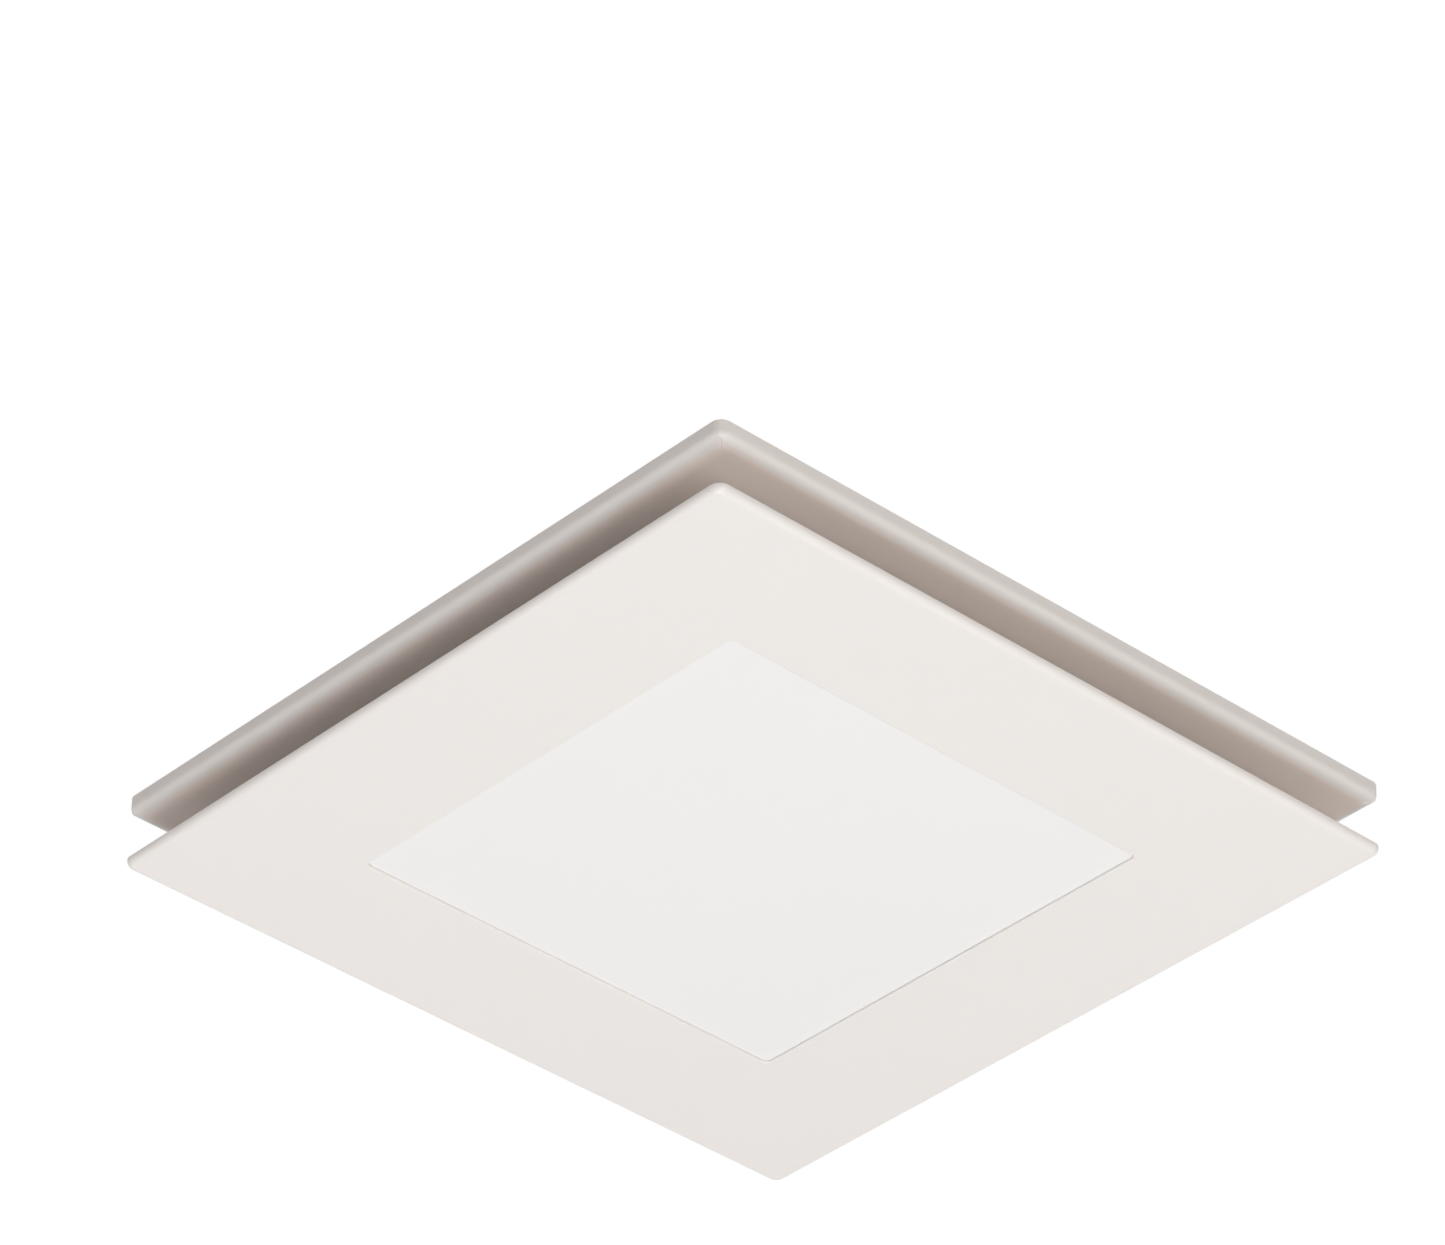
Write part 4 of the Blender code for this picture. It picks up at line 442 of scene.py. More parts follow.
def bar_profile(inner, outer, low, high, edge):
    """Section of a flat ring with broken edges."""
    return [(inner + edge, low), (outer - edge, low), (outer, low + edge), (outer, high - edge),
            (outer - edge, high), (inner + edge, high), (inner, high - edge), (inner, low + edge)]


def spun(degrees, axis):
    return Matrix.Rotation(math.radians(degrees), 4, axis)


def at(x, y, z, turn=0.0):
    return Matrix.Translation((x, y, z)) @ Matrix.Rotation(turn, 4, "Z")


def even_turns(count=4):
    return [Matrix.Rotation(math.tau * index / count, 4, "Z") for index in range(count)]


def spaced(span, count):
    """Places at even steps across a span about zero."""
    return [span * ((index + 0.5) / count - 0.5) for index in range(count)]


def along_path(points, spacing):
    """Places at even steps along a path in plan, away from its two ends."""
    lengths = [(Vector(b) - Vector(a)).length for a, b in zip(points, points[1:])]
    count = round(sum(lengths) / spacing)
    places = []
    for index in range(count):
        left = sum(lengths) * (index + 0.5) / count
        for start, end, length_here in zip(points, points[1:], lengths):
            if left <= length_here:
                places.append(Vector(start).lerp(Vector(end), left / length_here))
                break
            left -= length_here
    return places


# Meshes

def loft(data, rings, closed=False, matrix=None):
    """Skin a row of rings. A closed row meets end to start, an open one gets flat ends."""
    start = len(data.verts)
    rows = [[data.verts.new(point) for point in ring] for ring in rings]
    pairs = list(zip(rows, rows[1:]))
    if closed:
        pairs.append((rows[-1], rows[0]))
    for low, high in pairs:
        for index in range(len(low)):
            after = (index + 1) % len(low)
            data.faces.new((low[index], low[after], high[after], high[index]))
    if not closed:
        data.faces.new(rows[0])
        data.faces.new(rows[-1])
    if matrix is not None:
        bmesh.ops.transform(data, matrix=matrix, verts=list(data.verts)[start:])


def turned(data, profile, steps, matrix=None, closed=True):
    """Turn a profile of (radius, height) points about Z."""
    loft(data, [ring_at(circle(radius, steps), height) for radius, height in profile], closed, matrix)


def drill(data, radius, low, high, steps, matrix=None):
    """Cutter for a round hole between two levels, which it passes at both ends."""
    turned(data, [(radius, low - OVERRUN), (radius, high + OVERRUN)], steps, matrix, closed=False)


def band(data, near, far, low, high):
    """Strip between two paths in plan, closed at both ends."""
    loft(data, [[(*a, low), (*b, low), (*b, high), (*a, high)] for a, b in zip(near, far)])


def block(data, low, high, edge, matrix=None):
    """Box with rounded edges."""
    made = bmesh.ops.create_cube(data, size=1.0)["verts"]
    size = Vector(high) - Vector(low)
    middle = (Vector(high) + Vector(low)) / 2
    bmesh.ops.transform(data, matrix=Matrix.LocRotScale(middle, None, size), verts=made)
    edges = list({line for vert in made for line in vert.link_edges})
    rounded = bmesh.ops.bevel(data, geom=edges, offset=edge, segments=EDGE_SEGMENTS, profile=0.5,
                              affect="EDGES")
    if matrix is not None:
        corners = {vert for face in rounded["faces"] for vert in face.verts}
        bmesh.ops.transform(data, matrix=matrix, verts=list(corners))


def lone(add, *settings, **more):
    """New bmesh with what one of the functions above adds to it."""
    data = bmesh.new()
    add(data, *settings, **more)
    return data


def pressed(corners, level, edge):
    """Rib given by its two corners above a level."""
    up = Vector((0, 0, level))
    return lone(block, *[up + Vector(corner) for corner in corners], edge)


def bmesh_of(mesh):
    data = bmesh.new()
    data.from_mesh(mesh)
    return data


def linked(name, content):
    """Object of a mesh, a camera or a light, in the scene."""
    made = bpy.data.objects.new(name, content)
    bpy.context.scene.collection.objects.link(made)
    return made


def object_of(name, data):
    """Object from a bmesh as it is."""
    mesh = bpy.data.meshes.new(name)
    data.to_mesh(mesh)
    data.free()
    return linked(name, mesh)


def raw_piece(name, data):
    """Object from a bmesh, with its doubles merged and its faces turned out."""
    bmesh.ops.remove_doubles(data, verts=data.verts, dist=WELD)
    bmesh.ops.recalc_face_normals(data, faces=data.faces)
    return object_of(name, data)


def taken(piece):
    """Bmesh of a piece, which goes."""
    data = bmesh_of(piece.data)
    bpy.data.objects.remove(piece, do_unlink=True)
    return data


def evaluated_mesh(piece):
    """Mesh of a piece as its modifiers make it."""
    bpy.context.view_layer.update()
    graph = bpy.context.evaluated_depsgraph_get()
    return bpy.data.meshes.new_from_object(piece.evaluated_get(graph), depsgraph=graph)


def carve(piece, tool_data):
    """Cut a bmesh out of a piece."""
    tool = raw_piece("tool", tool_data)
    step = piece.modifiers.new("carve", "BOOLEAN")
    step.operation = "DIFFERENCE"
    step.solver = "EXACT"
    step.object = tool
    made = evaluated_mesh(piece)
    piece.modifiers.clear()
    piece.data = made
    made.name = piece.name
    bpy.data.objects.remove(tool, do_unlink=True)
    return piece


# What finishes pieces and hangs them on their bodies

def publish(piece, body, finish, *nodes, edge=0.0):
    """Shade a piece smooth with its sharp edges rounded, finish it, hang it on its body and hide the solids
    it replaces.
    """
    piece.data.shade_smooth()
    piece.data.set_sharp_from_angle(angle=SHARP_ANGLE)
    if edge:
        rounding = piece.modifiers.new("rounding", "BEVEL")
        rounding.width = edge
        rounding.segments = EDGE_SEGMENTS
        rounding.limit_method = "ANGLE"
        rounding.angle_limit = SHARP_ANGLE
        rounding.harden_normals = True
        rounding.use_clamp_overlap = True
    piece.modifiers.new("weighting", "WEIGHTED_NORMAL").keep_sharp = True
    piece.data.materials.clear()
    piece.data.materials.append(material(finish))
    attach(piece, body)
    if nodes:
        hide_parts(*nodes)


def publish_data(name, data, body, finish, *nodes, edge=0.0):
    """Piece from a bmesh."""
    publish(raw_piece(name, data), body, finish, *nodes, edge=edge)


def publish_copies(name, source, body, finish, *nodes, places=None, count=4, edge=0.0):
    """Piece made of copies of a source, on places or in a ring about Z."""
    publish_data(name, lone(copied, source, finish, places, count), body, finish, *nodes, edge=edge)


def body_of(name):
    bodies = frame["record"]["behaviour"]["bodies"]
    return next(body for body, members in bodies.items() if name in members)


def dress(name, finish, edge):
    """Replace a solid by a copy with its flat faces whole again and its edges rounded."""
    data = bmesh_of(frame["nodes"][name].data)
    bmesh.ops.remove_doubles(data, verts=data.verts, dist=WELD)
    bmesh.ops.dissolve_limit(data, angle_limit=FLAT_ANGLE, verts=data.verts, edges=data.edges)
    publish_data(name + "_dressed", data, body_of(name), finish, name, edge=edge)


# Nodes

def feed(tree, made, inputs):
    """Link or fill a node's inputs."""
    for key, value in inputs.items():
        if isinstance(value, bpy.types.NodeSocket):
            tree.links.new(value, made.inputs[key])
        else:
            made.inputs[key].default_value = value
    return made


def node(tree, kind, inputs=None, **settings):
    """Add a node, set it up, and link or fill its inputs."""
    made = tree.nodes.new(kind)
    for key, value in settings.items():
        setattr(made, key, value)
    return feed(tree, made, inputs or {})


def maths(tree, operation, first, second=0.0):
    return node(tree, "ShaderNodeMath", {0: first, 1: second}, operation=operation).outputs[0]


def object_place(tree):
    return node(tree, "ShaderNodeTexCoord").outputs["Object"]


def noise(tree, scale, detail, place=None):
    place = place or object_place(tree)
    made = node(tree, "ShaderNodeTexNoise", {"Vector": place, "Scale": scale, "Detail": detail})
    return made.outputs["Fac"]


def spread(tree, value, low, high, out_low=0.0, out_high=1.0):
    """Stretch a value from one range to another, with soft ends."""
    limits = {"Value": value, "From Min": low, "From Max": high, "To Min": out_low, "To Max": out_high}
    return node(tree, "ShaderNodeMapRange", limits, interpolation_type="SMOOTHSTEP").outputs["Result"]


def blended(tree, share, first, second):
    """Colour between two by a share."""
    return node(tree, "ShaderNodeMix", {0: share, 6: first, 7: second}, data_type="RGBA").outputs[2]


def mixed(tree, share, first, second):
    """Number between two by a share."""
    return node(tree, "ShaderNodeMix", {0: share, 2: first, 3: second}, data_type="FLOAT").outputs[0]


# Shared shader groups: each function fills a group of its own name

def shader_group(build, labels):
    """Group with named float inputs, and an output for each value that its function returns."""
    tree = bpy.data.node_groups.new(build.__name__, "ShaderNodeTree")
    for label in labels:
        tree.interface.new_socket(label, in_out="INPUT", socket_type="NodeSocketFloat")
    values = build(tree, tree.nodes.new("NodeGroupInput").outputs)
    for label in values:
        tree.interface.new_socket(label, in_out="OUTPUT", socket_type="NodeSocketFloat")
    node(tree, "NodeGroupOutput", values)
    return tree


def shared(tree, build, **values):
    """Outputs of a shared group with its inputs set. The group is built at its first use."""
    group = bpy.data.node_groups.get(build.__name__) or shader_group(build, values)
    return node(tree, "ShaderNodeGroup", values, node_tree=group).outputs


def moulded_pattern(tree, given):
    """Spark-eroded grain of an injection mould, and faint flow marks."""
    return {"Tone": noise(tree, MOTTLE_SCALE, detail=3.0), "Height": noise(tree, given["Scale"], detail=2.0)}


def sheet_pattern(tree, given):
    """Spangle of hot-dip zinc: angular cells of unlike tone under a faint cloud."""
    cells = node(tree, "ShaderNodeTexVoronoi", {"Vector": object_place(tree), "Scale": given["Scale"],
                                                "Randomness": 1.0})
    split = node(tree, "ShaderNodeSeparateColor", {"Color": cells.outputs["Color"]})
    cloud = noise(tree, MOTTLE_SCALE, detail=4.0)
    tone = maths(tree, "ADD", maths(tree, "MULTIPLY", split.outputs[0], CELL_TONE_SHARE),
                 maths(tree, "MULTIPLY", cloud, 1 - CELL_TONE_SHARE))
    return {"Tone": tone, "Height": cells.outputs["Distance"]}


def drawn_pattern(tree, given):
    """Fine lines that run level round a turned or drawn metal part."""
    place = node(tree, "ShaderNodeMapping", {"Vector": object_place(tree), "Scale": DRAWN_STRETCH})
    lines = noise(tree, given["Scale"], 3.0, place.outputs[0])
    return {"Tone": noise(tree, MOTTLE_SCALE, detail=3.0), "Height": lines}


def wound_pattern(tree, given):
    """Turns of enamelled wire laid side by side."""
    waves = node(tree, "ShaderNodeTexWave", {"Vector": object_place(tree), "Scale": given["Scale"],
                                             "Distortion": WIRE_WANDER},
                 wave_type="BANDS", bands_direction="Z")
    return {"Tone": waves.outputs["Fac"], "Height": waves.outputs["Fac"]}


def foam_pattern(tree, given):
    """Open pores of a soft foam."""
    cells = node(tree, "ShaderNodeTexVoronoi", {"Vector": object_place(tree), "Scale": given["Scale"]})
    pores = spread(tree, cells.outputs["Distance"], *PORE_RANGE)
    return {"Tone": pores, "Height": pores}


def patchy(tree, mask, amount, scale, detail, *limits):
    """Mask broken up by noise, times an amount."""
    patches = spread(tree, noise(tree, scale, detail), *limits)
    return maths(tree, "MULTIPLY", maths(tree, "MULTIPLY", mask, patches), amount)


def level_facing(tree):
    """One on what faces up, minus one on what faces down."""
    normal = node(tree, "ShaderNodeNewGeometry").outputs["Normal"]
    return node(tree, "ShaderNodeSeparateXYZ", {0: normal}).outputs["Z"]


def edge_wear(tree, given):
    """Edges rubbed lighter where hands and tools touch."""
    rounded = node(tree, "ShaderNodeBevel", {"Radius": given["Width"]}, samples=WEAR_SAMPLES)
    flat = node(tree, "ShaderNodeNewGeometry")
    facing = node(tree, "ShaderNodeVectorMath", {0: rounded.outputs[0], 1: flat.outputs["Normal"]},
                  operation="DOT_PRODUCT").outputs["Value"]
    edge = spread(tree, maths(tree, "SUBTRACT", 1.0, facing), *WEAR_RANGE)
    return {"Edge": patchy(tree, edge, given["Amount"], *WEAR_NOISE)}


def settled_dust(tree, given):
    """Dust that settles on what faces up."""
    up = spread(tree, level_facing(tree), *DUST_RANGE)
    return {"Dust": patchy(tree, up, given["Amount"], *DUST_NOISE)}


def drawn_haze(tree, given):
    """Painted warm shade on what faces down: a warm tint that stands in for the shade that falls there."""
    down = spread(tree, maths(tree, "MULTIPLY", level_facing(tree), -1.0), *PAINTED_SHADE_RANGE)
    return {"Haze": patchy(tree, down, given["Amount"], *PAINTED_SHADE_NOISE)}


# Finishes. Relief is in millimetres.
# One field of a finish is its share of painted warm shade on what faces down
Finish = namedtuple("Finish", "slot swatch roughness pattern scale relief "
                    "tone metallic worn dust haze vary extras", defaults=(0.04, 0.0, 0.0, 0.0, 0.0, 0.06, {}))
FINISHES = {
    "fascia_white": Finish("white_abs", "white", 0.34, moulded_pattern, 3200.0, 0.004, 0.008, vary=0.03),
    # Moulded white carries painted warm shade on what faces down
    "moulded_white": Finish("white_abs", "white", 0.42, moulded_pattern, 2600.0, 0.008, 0.012, worn=0.1,
                            dust=0.12, haze=0.85),
    "moulded_grey": Finish("grey_abs", "grey", 0.5, moulded_pattern, 2200.0, 0.012, 0.05, worn=0.25,
                           dust=0.35),
    "lead_white": Finish("white_abs", "white", 0.5, moulded_pattern, 900.0, 0.01, 0.03, dust=0.2),
    "lead_grey": Finish("grey_abs", "grey", 0.5, moulded_pattern, 900.0, 0.01, 0.04, dust=0.25),
    "opal_sheet": Finish("opal", "opal", 0.33, moulded_pattern, 1500.0, 0.003, 0.004, vary=0.02),
    "clear_acrylic": Finish("acrylic", "acrylic", 0.06, moulded_pattern, 700.0, 0.001, 0.01, vary=0.02,
                            extras={"Transmission Weight": 0.85, "IOR": 1.49}),
    "light_board": Finish("board", "board", 0.4, moulded_pattern, 1200.0, 0.004, 0.03),
    "reflector": Finish("paper", "paper", 0.6, moulded_pattern, 1800.0, 0.006, 0.02),
    "zinc_sheet": Finish("galvanised", "zinc", 0.42, sheet_pattern, 185.0, 0.006, 0.18, metallic=1.0,
                         worn=0.35, dust=0.26, vary=0.11),
    "zinc_drawn": Finish("galvanised", "zinc", 0.37, drawn_pattern, 1500.0, 0.006, 0.08, metallic=1.0,
                         worn=0.4, dust=0.22, vary=0.08),
    "bright_steel": Finish("steel", "steel", 0.2, drawn_pattern, 2400.0, 0.004, 0.08, metallic=1.0, worn=0.3,
                           dust=0.12, vary=0.05),
    "drawn_aluminium": Finish("aluminium", "aluminium", 0.37, drawn_pattern, 1800.0, 0.005, 0.06,
                              metallic=1.0, worn=0.3, dust=0.2, vary=0.08),
    "winding": Finish("copper", "copper", 0.35, wound_pattern, 700.0, 0.12, 0.25, metallic=1.0),
    "nylon": Finish("nylon", "nylon", 0.48, moulded_pattern, 1400.0, 0.015, 0.04, worn=0.15, dust=0.25),
    "moulded_black": Finish("black_plastic", "black", 0.45, moulded_pattern, 1800.0, 0.015, 0.12, worn=0.3,
                            dust=0.3),
    "soft_rubber": Finish("rubber", "rubber", 0.75, moulded_pattern, 1200.0, 0.02, 0.15, dust=0.4),
    "sealing_foam": Finish("foam", "foam", 0.95, foam_pattern, 900.0, 0.25, 0.35, dust=0.25),
}


def toned(colour, change):
    return (*[min(1.0, part * (1.0 + change)) for part in colour], 1.0)


def lifted(colour, share):
    return (*[part + (1.0 - part) * share for part in colour], 1.0)


def material(name):
    """Material of one finish: pattern, painted warm shade on what faces down, edge wear and dust over its own
    colour.
    """
    found = bpy.data.materials.get(name)
    if found:
        return found
    finish = FINISHES[name]
    colour = tuple(getattr(bpy.context.scene.fan_colours, finish.swatch))
    made = bpy.data.materials.new(name)
    made.use_nodes = True
    made.diffuse_color = (*colour, 1.0)
    tree = made.node_tree
    pattern = shared(tree, finish.pattern, Scale=finish.scale)
    tone = pattern["Tone"]
    shown = blended(tree, tone, toned(colour, -finish.tone), toned(colour, finish.tone))
    rough = spread(tree, tone, *TONE_RANGE, finish.roughness - finish.vary, finish.roughness + finish.vary)
    # Painted warm shade: a warm tint blended onto what faces down
    if finish.haze:
        haze = shared(tree, drawn_haze, Amount=finish.haze)["Haze"]
        shown = blended(tree, haze, shown, PAINTED_SHADE_COLOUR)
    if finish.worn:
        wear = shared(tree, edge_wear, Width=WEAR_WIDTH, Amount=finish.worn)["Edge"]
        shown = blended(tree, wear, shown, lifted(colour, WEAR_LIFT_SHARE * finish.worn))
    if finish.dust:
        dust = shared(tree, settled_dust, Amount=finish.dust)["Dust"]
        shown = blended(tree, dust, shown, DUST_COLOUR)
        rough = mixed(tree, dust, rough, DUST_ROUGHNESS)
    bump = node(tree, "ShaderNodeBump", {"Height": pattern["Height"], "Distance": finish.relief * MM,
                                         "Strength": 1.0})
    feed(tree, tree.nodes["Principled BSDF"], {"Base Color": shown, "Roughness": rough,
                                               "Normal": bump.outputs[0], "Metallic": finish.metallic,
                                               **finish.extras})
    return made


# Geometry Nodes trees: each function fills a tree of its own name

INPUT_KINDS = {"Geometry": "Geometry", "Source": "Object", "Material": "Material", "Count": "Int"}


def growth_tree(build, labels):
    """Tree that ends in plain geometry in its material, with named inputs."""
    tree = bpy.data.node_groups.new(build.__name__, "GeometryNodeTree")
    tree.interface.new_socket("Geometry", in_out="OUTPUT", socket_type="NodeSocketGeometry")
    for label in ("Geometry", *labels):
        kind = INPUT_KINDS.get(label, "Float")
        tree.interface.new_socket(label, in_out="INPUT", socket_type="NodeSocket" + kind)
    given = tree.nodes.new("NodeGroupInput").outputs
    whole = node(tree, "GeometryNodeRealizeInstances", {0: build(tree, given)}).outputs[0]
    coated = node(tree, "GeometryNodeSetMaterial", {"Geometry": whole, "Material": given["Material"]})
    node(tree, "NodeGroupOutput", {0: coated.outputs[0]})
    return tree


def instances(tree, given, points, angles):
    """Copies of the source on points, each turned by its own angles."""
    shape = node(tree, "GeometryNodeObjectInfo", {"Object": given["Source"]}).outputs["Geometry"]
    turn = node(tree, "FunctionNodeEulerToRotation", {0: angles}).outputs[0]
    return node(tree, "GeometryNodeInstanceOnPoints", {"Points": points, "Instance": shape,
                                                       "Rotation": turn}).outputs[0]


def copies_at_marks(tree, given):
    """Copies of a source on marks, each turned as its mark says."""
    turn = node(tree, "GeometryNodeInputNamedAttribute", {"Name": "turn"}, data_type="FLOAT_VECTOR")
    return instances(tree, given, given["Geometry"], turn.outputs["Attribute"])


def copies_in_ring(tree, given):
    """Copies of a source turned about Z in even steps."""
    points = node(tree, "GeometryNodePoints", {"Count": given["Count"]}).outputs[0]
    step = maths(tree, "DIVIDE", math.tau, given["Count"])
    angle = maths(tree, "MULTIPLY", node(tree, "GeometryNodeInputIndex").outputs[0], step)
    return instances(tree, given, points, node(tree, "ShaderNodeCombineXYZ", {"Z": angle}).outputs[0])


def wire_coil(tree, given):
    """Round wire wound in a coil up the Z axis."""
    radius = given["Radius"]
    path = node(tree, "GeometryNodeCurveSpiral", {"Resolution": COIL_STEPS, "Rotations": given["Turns"],
                                                  "Start Radius": radius, "End Radius": radius,
                                                  "Height": given["Height"]})
    wire = node(tree, "GeometryNodeCurvePrimitiveCircle", {"Resolution": WIRE_STEPS, "Radius": given["Wire"]})
    return node(tree, "GeometryNodeCurveToMesh", {"Curve": path.outputs[0], "Profile Curve": wire.outputs[0],
                                                  "Fill Caps": True}).outputs[0]


def grown(build, values, base=None):
    """Mesh that a tree makes from its inputs. The tree is built at its first use."""
    tree = bpy.data.node_groups.get(build.__name__) or growth_tree(build, values)
    carrier = linked("carrier", base or bpy.data.meshes.new("seed"))
    step = carrier.modifiers.new("growth", "NODES")
    step.node_group = tree
    for item in tree.interface.items_tree:
        if item.in_out == "INPUT" and item.name in values:
            step[item.identifier] = values[item.name]
    made = evaluated_mesh(carrier)
    bpy.data.objects.remove(carrier, do_unlink=True)
    return made


def copied(data, source_data, finish, places=None, count=4):
    """Add copies of a source to a bmesh, on places or in a ring about Z."""
    source = raw_piece("source", source_data)
    values = {"Source": source, "Material": material(finish)}
    if places:
        marks = bpy.data.meshes.new("marks")
        marks.from_pydata([place.translation for place in places], [], [])
        turns = marks.attributes.new("turn", "FLOAT_VECTOR", "POINT")
        for index, place in enumerate(places):
            turns.data[index].vector = place.to_euler()
        made = grown(copies_at_marks, values, marks)
    else:
        made = grown(copies_in_ring, {**values, "Count": count})
    bpy.data.objects.remove(source, do_unlink=True)
    data.from_mesh(made)


def coil_mesh(radius, wire, turns, length_in_all, place):
    """Coil of bright wire in its place."""
    made = grown(wire_coil, {"Radius": radius, "Wire": wire, "Turns": turns,
                             "Height": length_in_all - 2 * wire, "Material": material("bright_steel")})
    made.transform(place)
    return made


# Properties

def number(name, description, default, **more):
    return bpy.props.FloatProperty(name=name, description=description, default=default, min=0.0, **more)


def length(name, description, default):
    return number(name, description, default, subtype="DISTANCE", unit="LENGTH", precision=5)


def power(name, description, default):
    return number(name, description, default, unit="POWER")


def count_of(name, description, default):
    return bpy.props.IntProperty(name=name, description=description, default=default, min=1)


def swatch(name, description, default):
    return bpy.props.FloatVectorProperty(name=name, description=description, default=default, size=3,
                                         min=0.0, max=1.0, subtype="COLOR")


class FanColours(bpy.types.PropertyGroup):
    """Colours of the fan's finishes."""
    white: swatch("White plastic", "Bezel, fascia and white mouldings", (0.83, 0.817, 0.807))
    grey: swatch("Grey plastic", "Grille, bell mouth, outlet and boxes", (0.55, 0.56, 0.57))
    opal: swatch("Opal sheet", "Face of the panel light", (0.86, 0.873, 0.882))
    acrylic: swatch("Clear acrylic", "Light guide", (0.9, 0.92, 0.93))
    board: swatch("Circuit board", "Strip of lights", (0.85, 0.85, 0.8))
    paper: swatch("Reflector", "Sheet behind the light guide", (0.9, 0.9, 0.9))
    zinc: swatch("Zinc", "Scroll, base plate and motor casing", (0.56, 0.57, 0.58))
    steel: swatch("Steel", "Shaft, screws and springs", (0.62, 0.62, 0.63))
    aluminium: swatch("Aluminium", "Light's tray and capacitor", (0.75, 0.76, 0.77))
    copper: swatch("Copper", "Motor winding", (0.62, 0.3, 0.16))
    nylon: swatch("Nylon", "Ceiling arms and catches", (0.72, 0.7, 0.64))
    black: swatch("Black plastic", "Impeller, gland and switch", (0.03, 0.03, 0.035))
    rubber: swatch("Rubber", "Grommets", (0.05, 0.05, 0.055))
    foam: swatch("Foam", "Ceiling gasket", (0.16, 0.16, 0.17))


class FanShapes(bpy.types.PropertyGroup):
    """Small sizes of the dressed pieces."""
    edge: length("Edge", "Rounding of moulded edges", 0.35 * MM)
    sheet_edge: length("Sheet edge", "Rounding of sheet metal edges", 0.2 * MM)
    collar_ribs: count_of("Collar ribs", "Ribs on each side of the collar", 14)
    lamps: count_of("Lamps", "Lamps on each side of the light guide", 18)


class FanRoom(bpy.types.PropertyGroup):
    """Lamps round the fan."""
    key: power("Key lamp", "Low lamp from the right of the picture", 16.2)
    fill: power("Fill lamp", "Broad lamp near the floor", 31.6)
    top: power("Top lamp", "Lamp above the ceiling, for the views from the roof space", 60.0)
    world: number("World", "Light from all round", 0.45)


# Stage

def seen_directly(tree):
    """One where the camera, a mirror or a clear piece looks, else nought."""
    path = node(tree, "ShaderNodeLightPath")
    seen = maths(tree, "MAXIMUM", path.outputs["Is Camera Ray"], path.outputs["Is Glossy Ray"])
    return maths(tree, "MAXIMUM", seen, path.outputs["Is Transmission Ray"])


def pale_surface(name, colour, one_sided):
    """Matt pale surface that the camera and mirrors see as nearly white, with the object's shadow on it."""
    made = bpy.data.materials.new(name)
    made.use_nodes = True
    tree = made.node_tree
    tree.nodes.clear()
    grain = noise(tree, STAGE_GRAIN_SCALE, detail=4.0)
    tint = blended(tree, grain, toned(colour, -STAGE_TONE), toned(colour, STAGE_TONE))
    matt = node(tree, "ShaderNodeBsdfDiffuse", {"Color": tint})
    glow = node(tree, "ShaderNodeEmission", {"Color": PURE_WHITE, "Strength": STAGE_GLOW})
    share = maths(tree, "MULTIPLY", seen_directly(tree), STAGE_WHITE_SHARE)
    shown = node(tree, "ShaderNodeMixShader", {0: share, 1: matt.outputs[0], 2: glow.outputs[0]}).outputs[0]
    if one_sided:
        behind = node(tree, "ShaderNodeNewGeometry").outputs["Backfacing"]
        clear = node(tree, "ShaderNodeBsdfTransparent")
        shown = node(tree, "ShaderNodeMixShader", {0: behind, 1: shown, 2: clear.outputs[0]}).outputs[0]
    node(tree, "ShaderNodeOutputMaterial", {"Surface": shown})
    return made


def square_at(half, level):
    return [(x * half, y * half, level) for x, y in ((-1, -1), (1, -1), (1, 1), (-1, 1))]


def stage_sheet(name, rings, surface, up):
    """Flat sheet inside an outline or between two, with its faces up or down."""
    data = bmesh.new()
    rows = [[data.verts.new(point) for point in ring] for ring in rings]
    if len(rows) > 1:
        for index in range(len(rows[0])):
            after = (index + 1) % len(rows[0])
            data.faces.new((rows[0][index], rows[0][after], rows[1][after], rows[1][index]))
    else:
        data.faces.new(rows[0])
    for face in data.faces:
        face.normal_update()
        if (face.normal.z > 0) != up:
            face.normal_flip()
    piece = object_of(name, data)
    piece.data.materials.append(surface)


def add_camera():
    """Camera at the photograph's viewing angle, below the fan and looking up."""
    data = bpy.data.cameras.new("camera")
    data.sensor_fit = "HORIZONTAL"
    data.sensor_width = SENSOR
    data.lens = FOCAL_PIXELS * SENSOR / IMAGE_WIDTH
    camera = linked("camera", data)
    right = Vector(CAMERA_RIGHT).normalized()
    up = Vector(CAMERA_UP)
    up = (up - right * up.dot(right)).normalized()
    turn = Matrix((right, up, right.cross(up))).transposed().to_4x4()
    camera.matrix_world = Matrix.Translation(CAMERA_PLACE) @ turn
    bpy.context.scene.camera = camera


def add_lamp(name, place, size, colour, energy):
    """Area lamp that looks at the fan and isn't seen itself."""
    data = bpy.data.lights.new(name, "AREA")
    data.shape = "SQUARE"
    data.size = size
    data.color = colour
    data.energy = energy
    lamp = linked(name, data)
    aim = -Vector(place)
    lamp.rotation_euler = aim.to_track_quat("-Z", "Y").to_euler()
    lamp.location = place
    lamp.visible_camera = False


def add_world(scene, strength):
    """Light from all round, warmer from below, that is seen as white."""
    world = bpy.data.worlds.new("room")
    world.use_nodes = True
    tree = world.node_tree
    seen = seen_directly(tree)
    ahead = node(tree, "ShaderNodeTexCoord").outputs["Generated"]
    level = node(tree, "ShaderNodeSeparateXYZ", {0: ahead}).outputs["Z"]
    around = blended(tree, spread(tree, level, *HORIZON_RANGE), BELOW_COLOUR, PURE_WHITE)
    feed(tree, tree.nodes["Background"], {"Color": blended(tree, seen, around, PURE_WHITE),
                                          "Strength": mixed(tree, seen, strength, 1.0)})
    scene.world = world


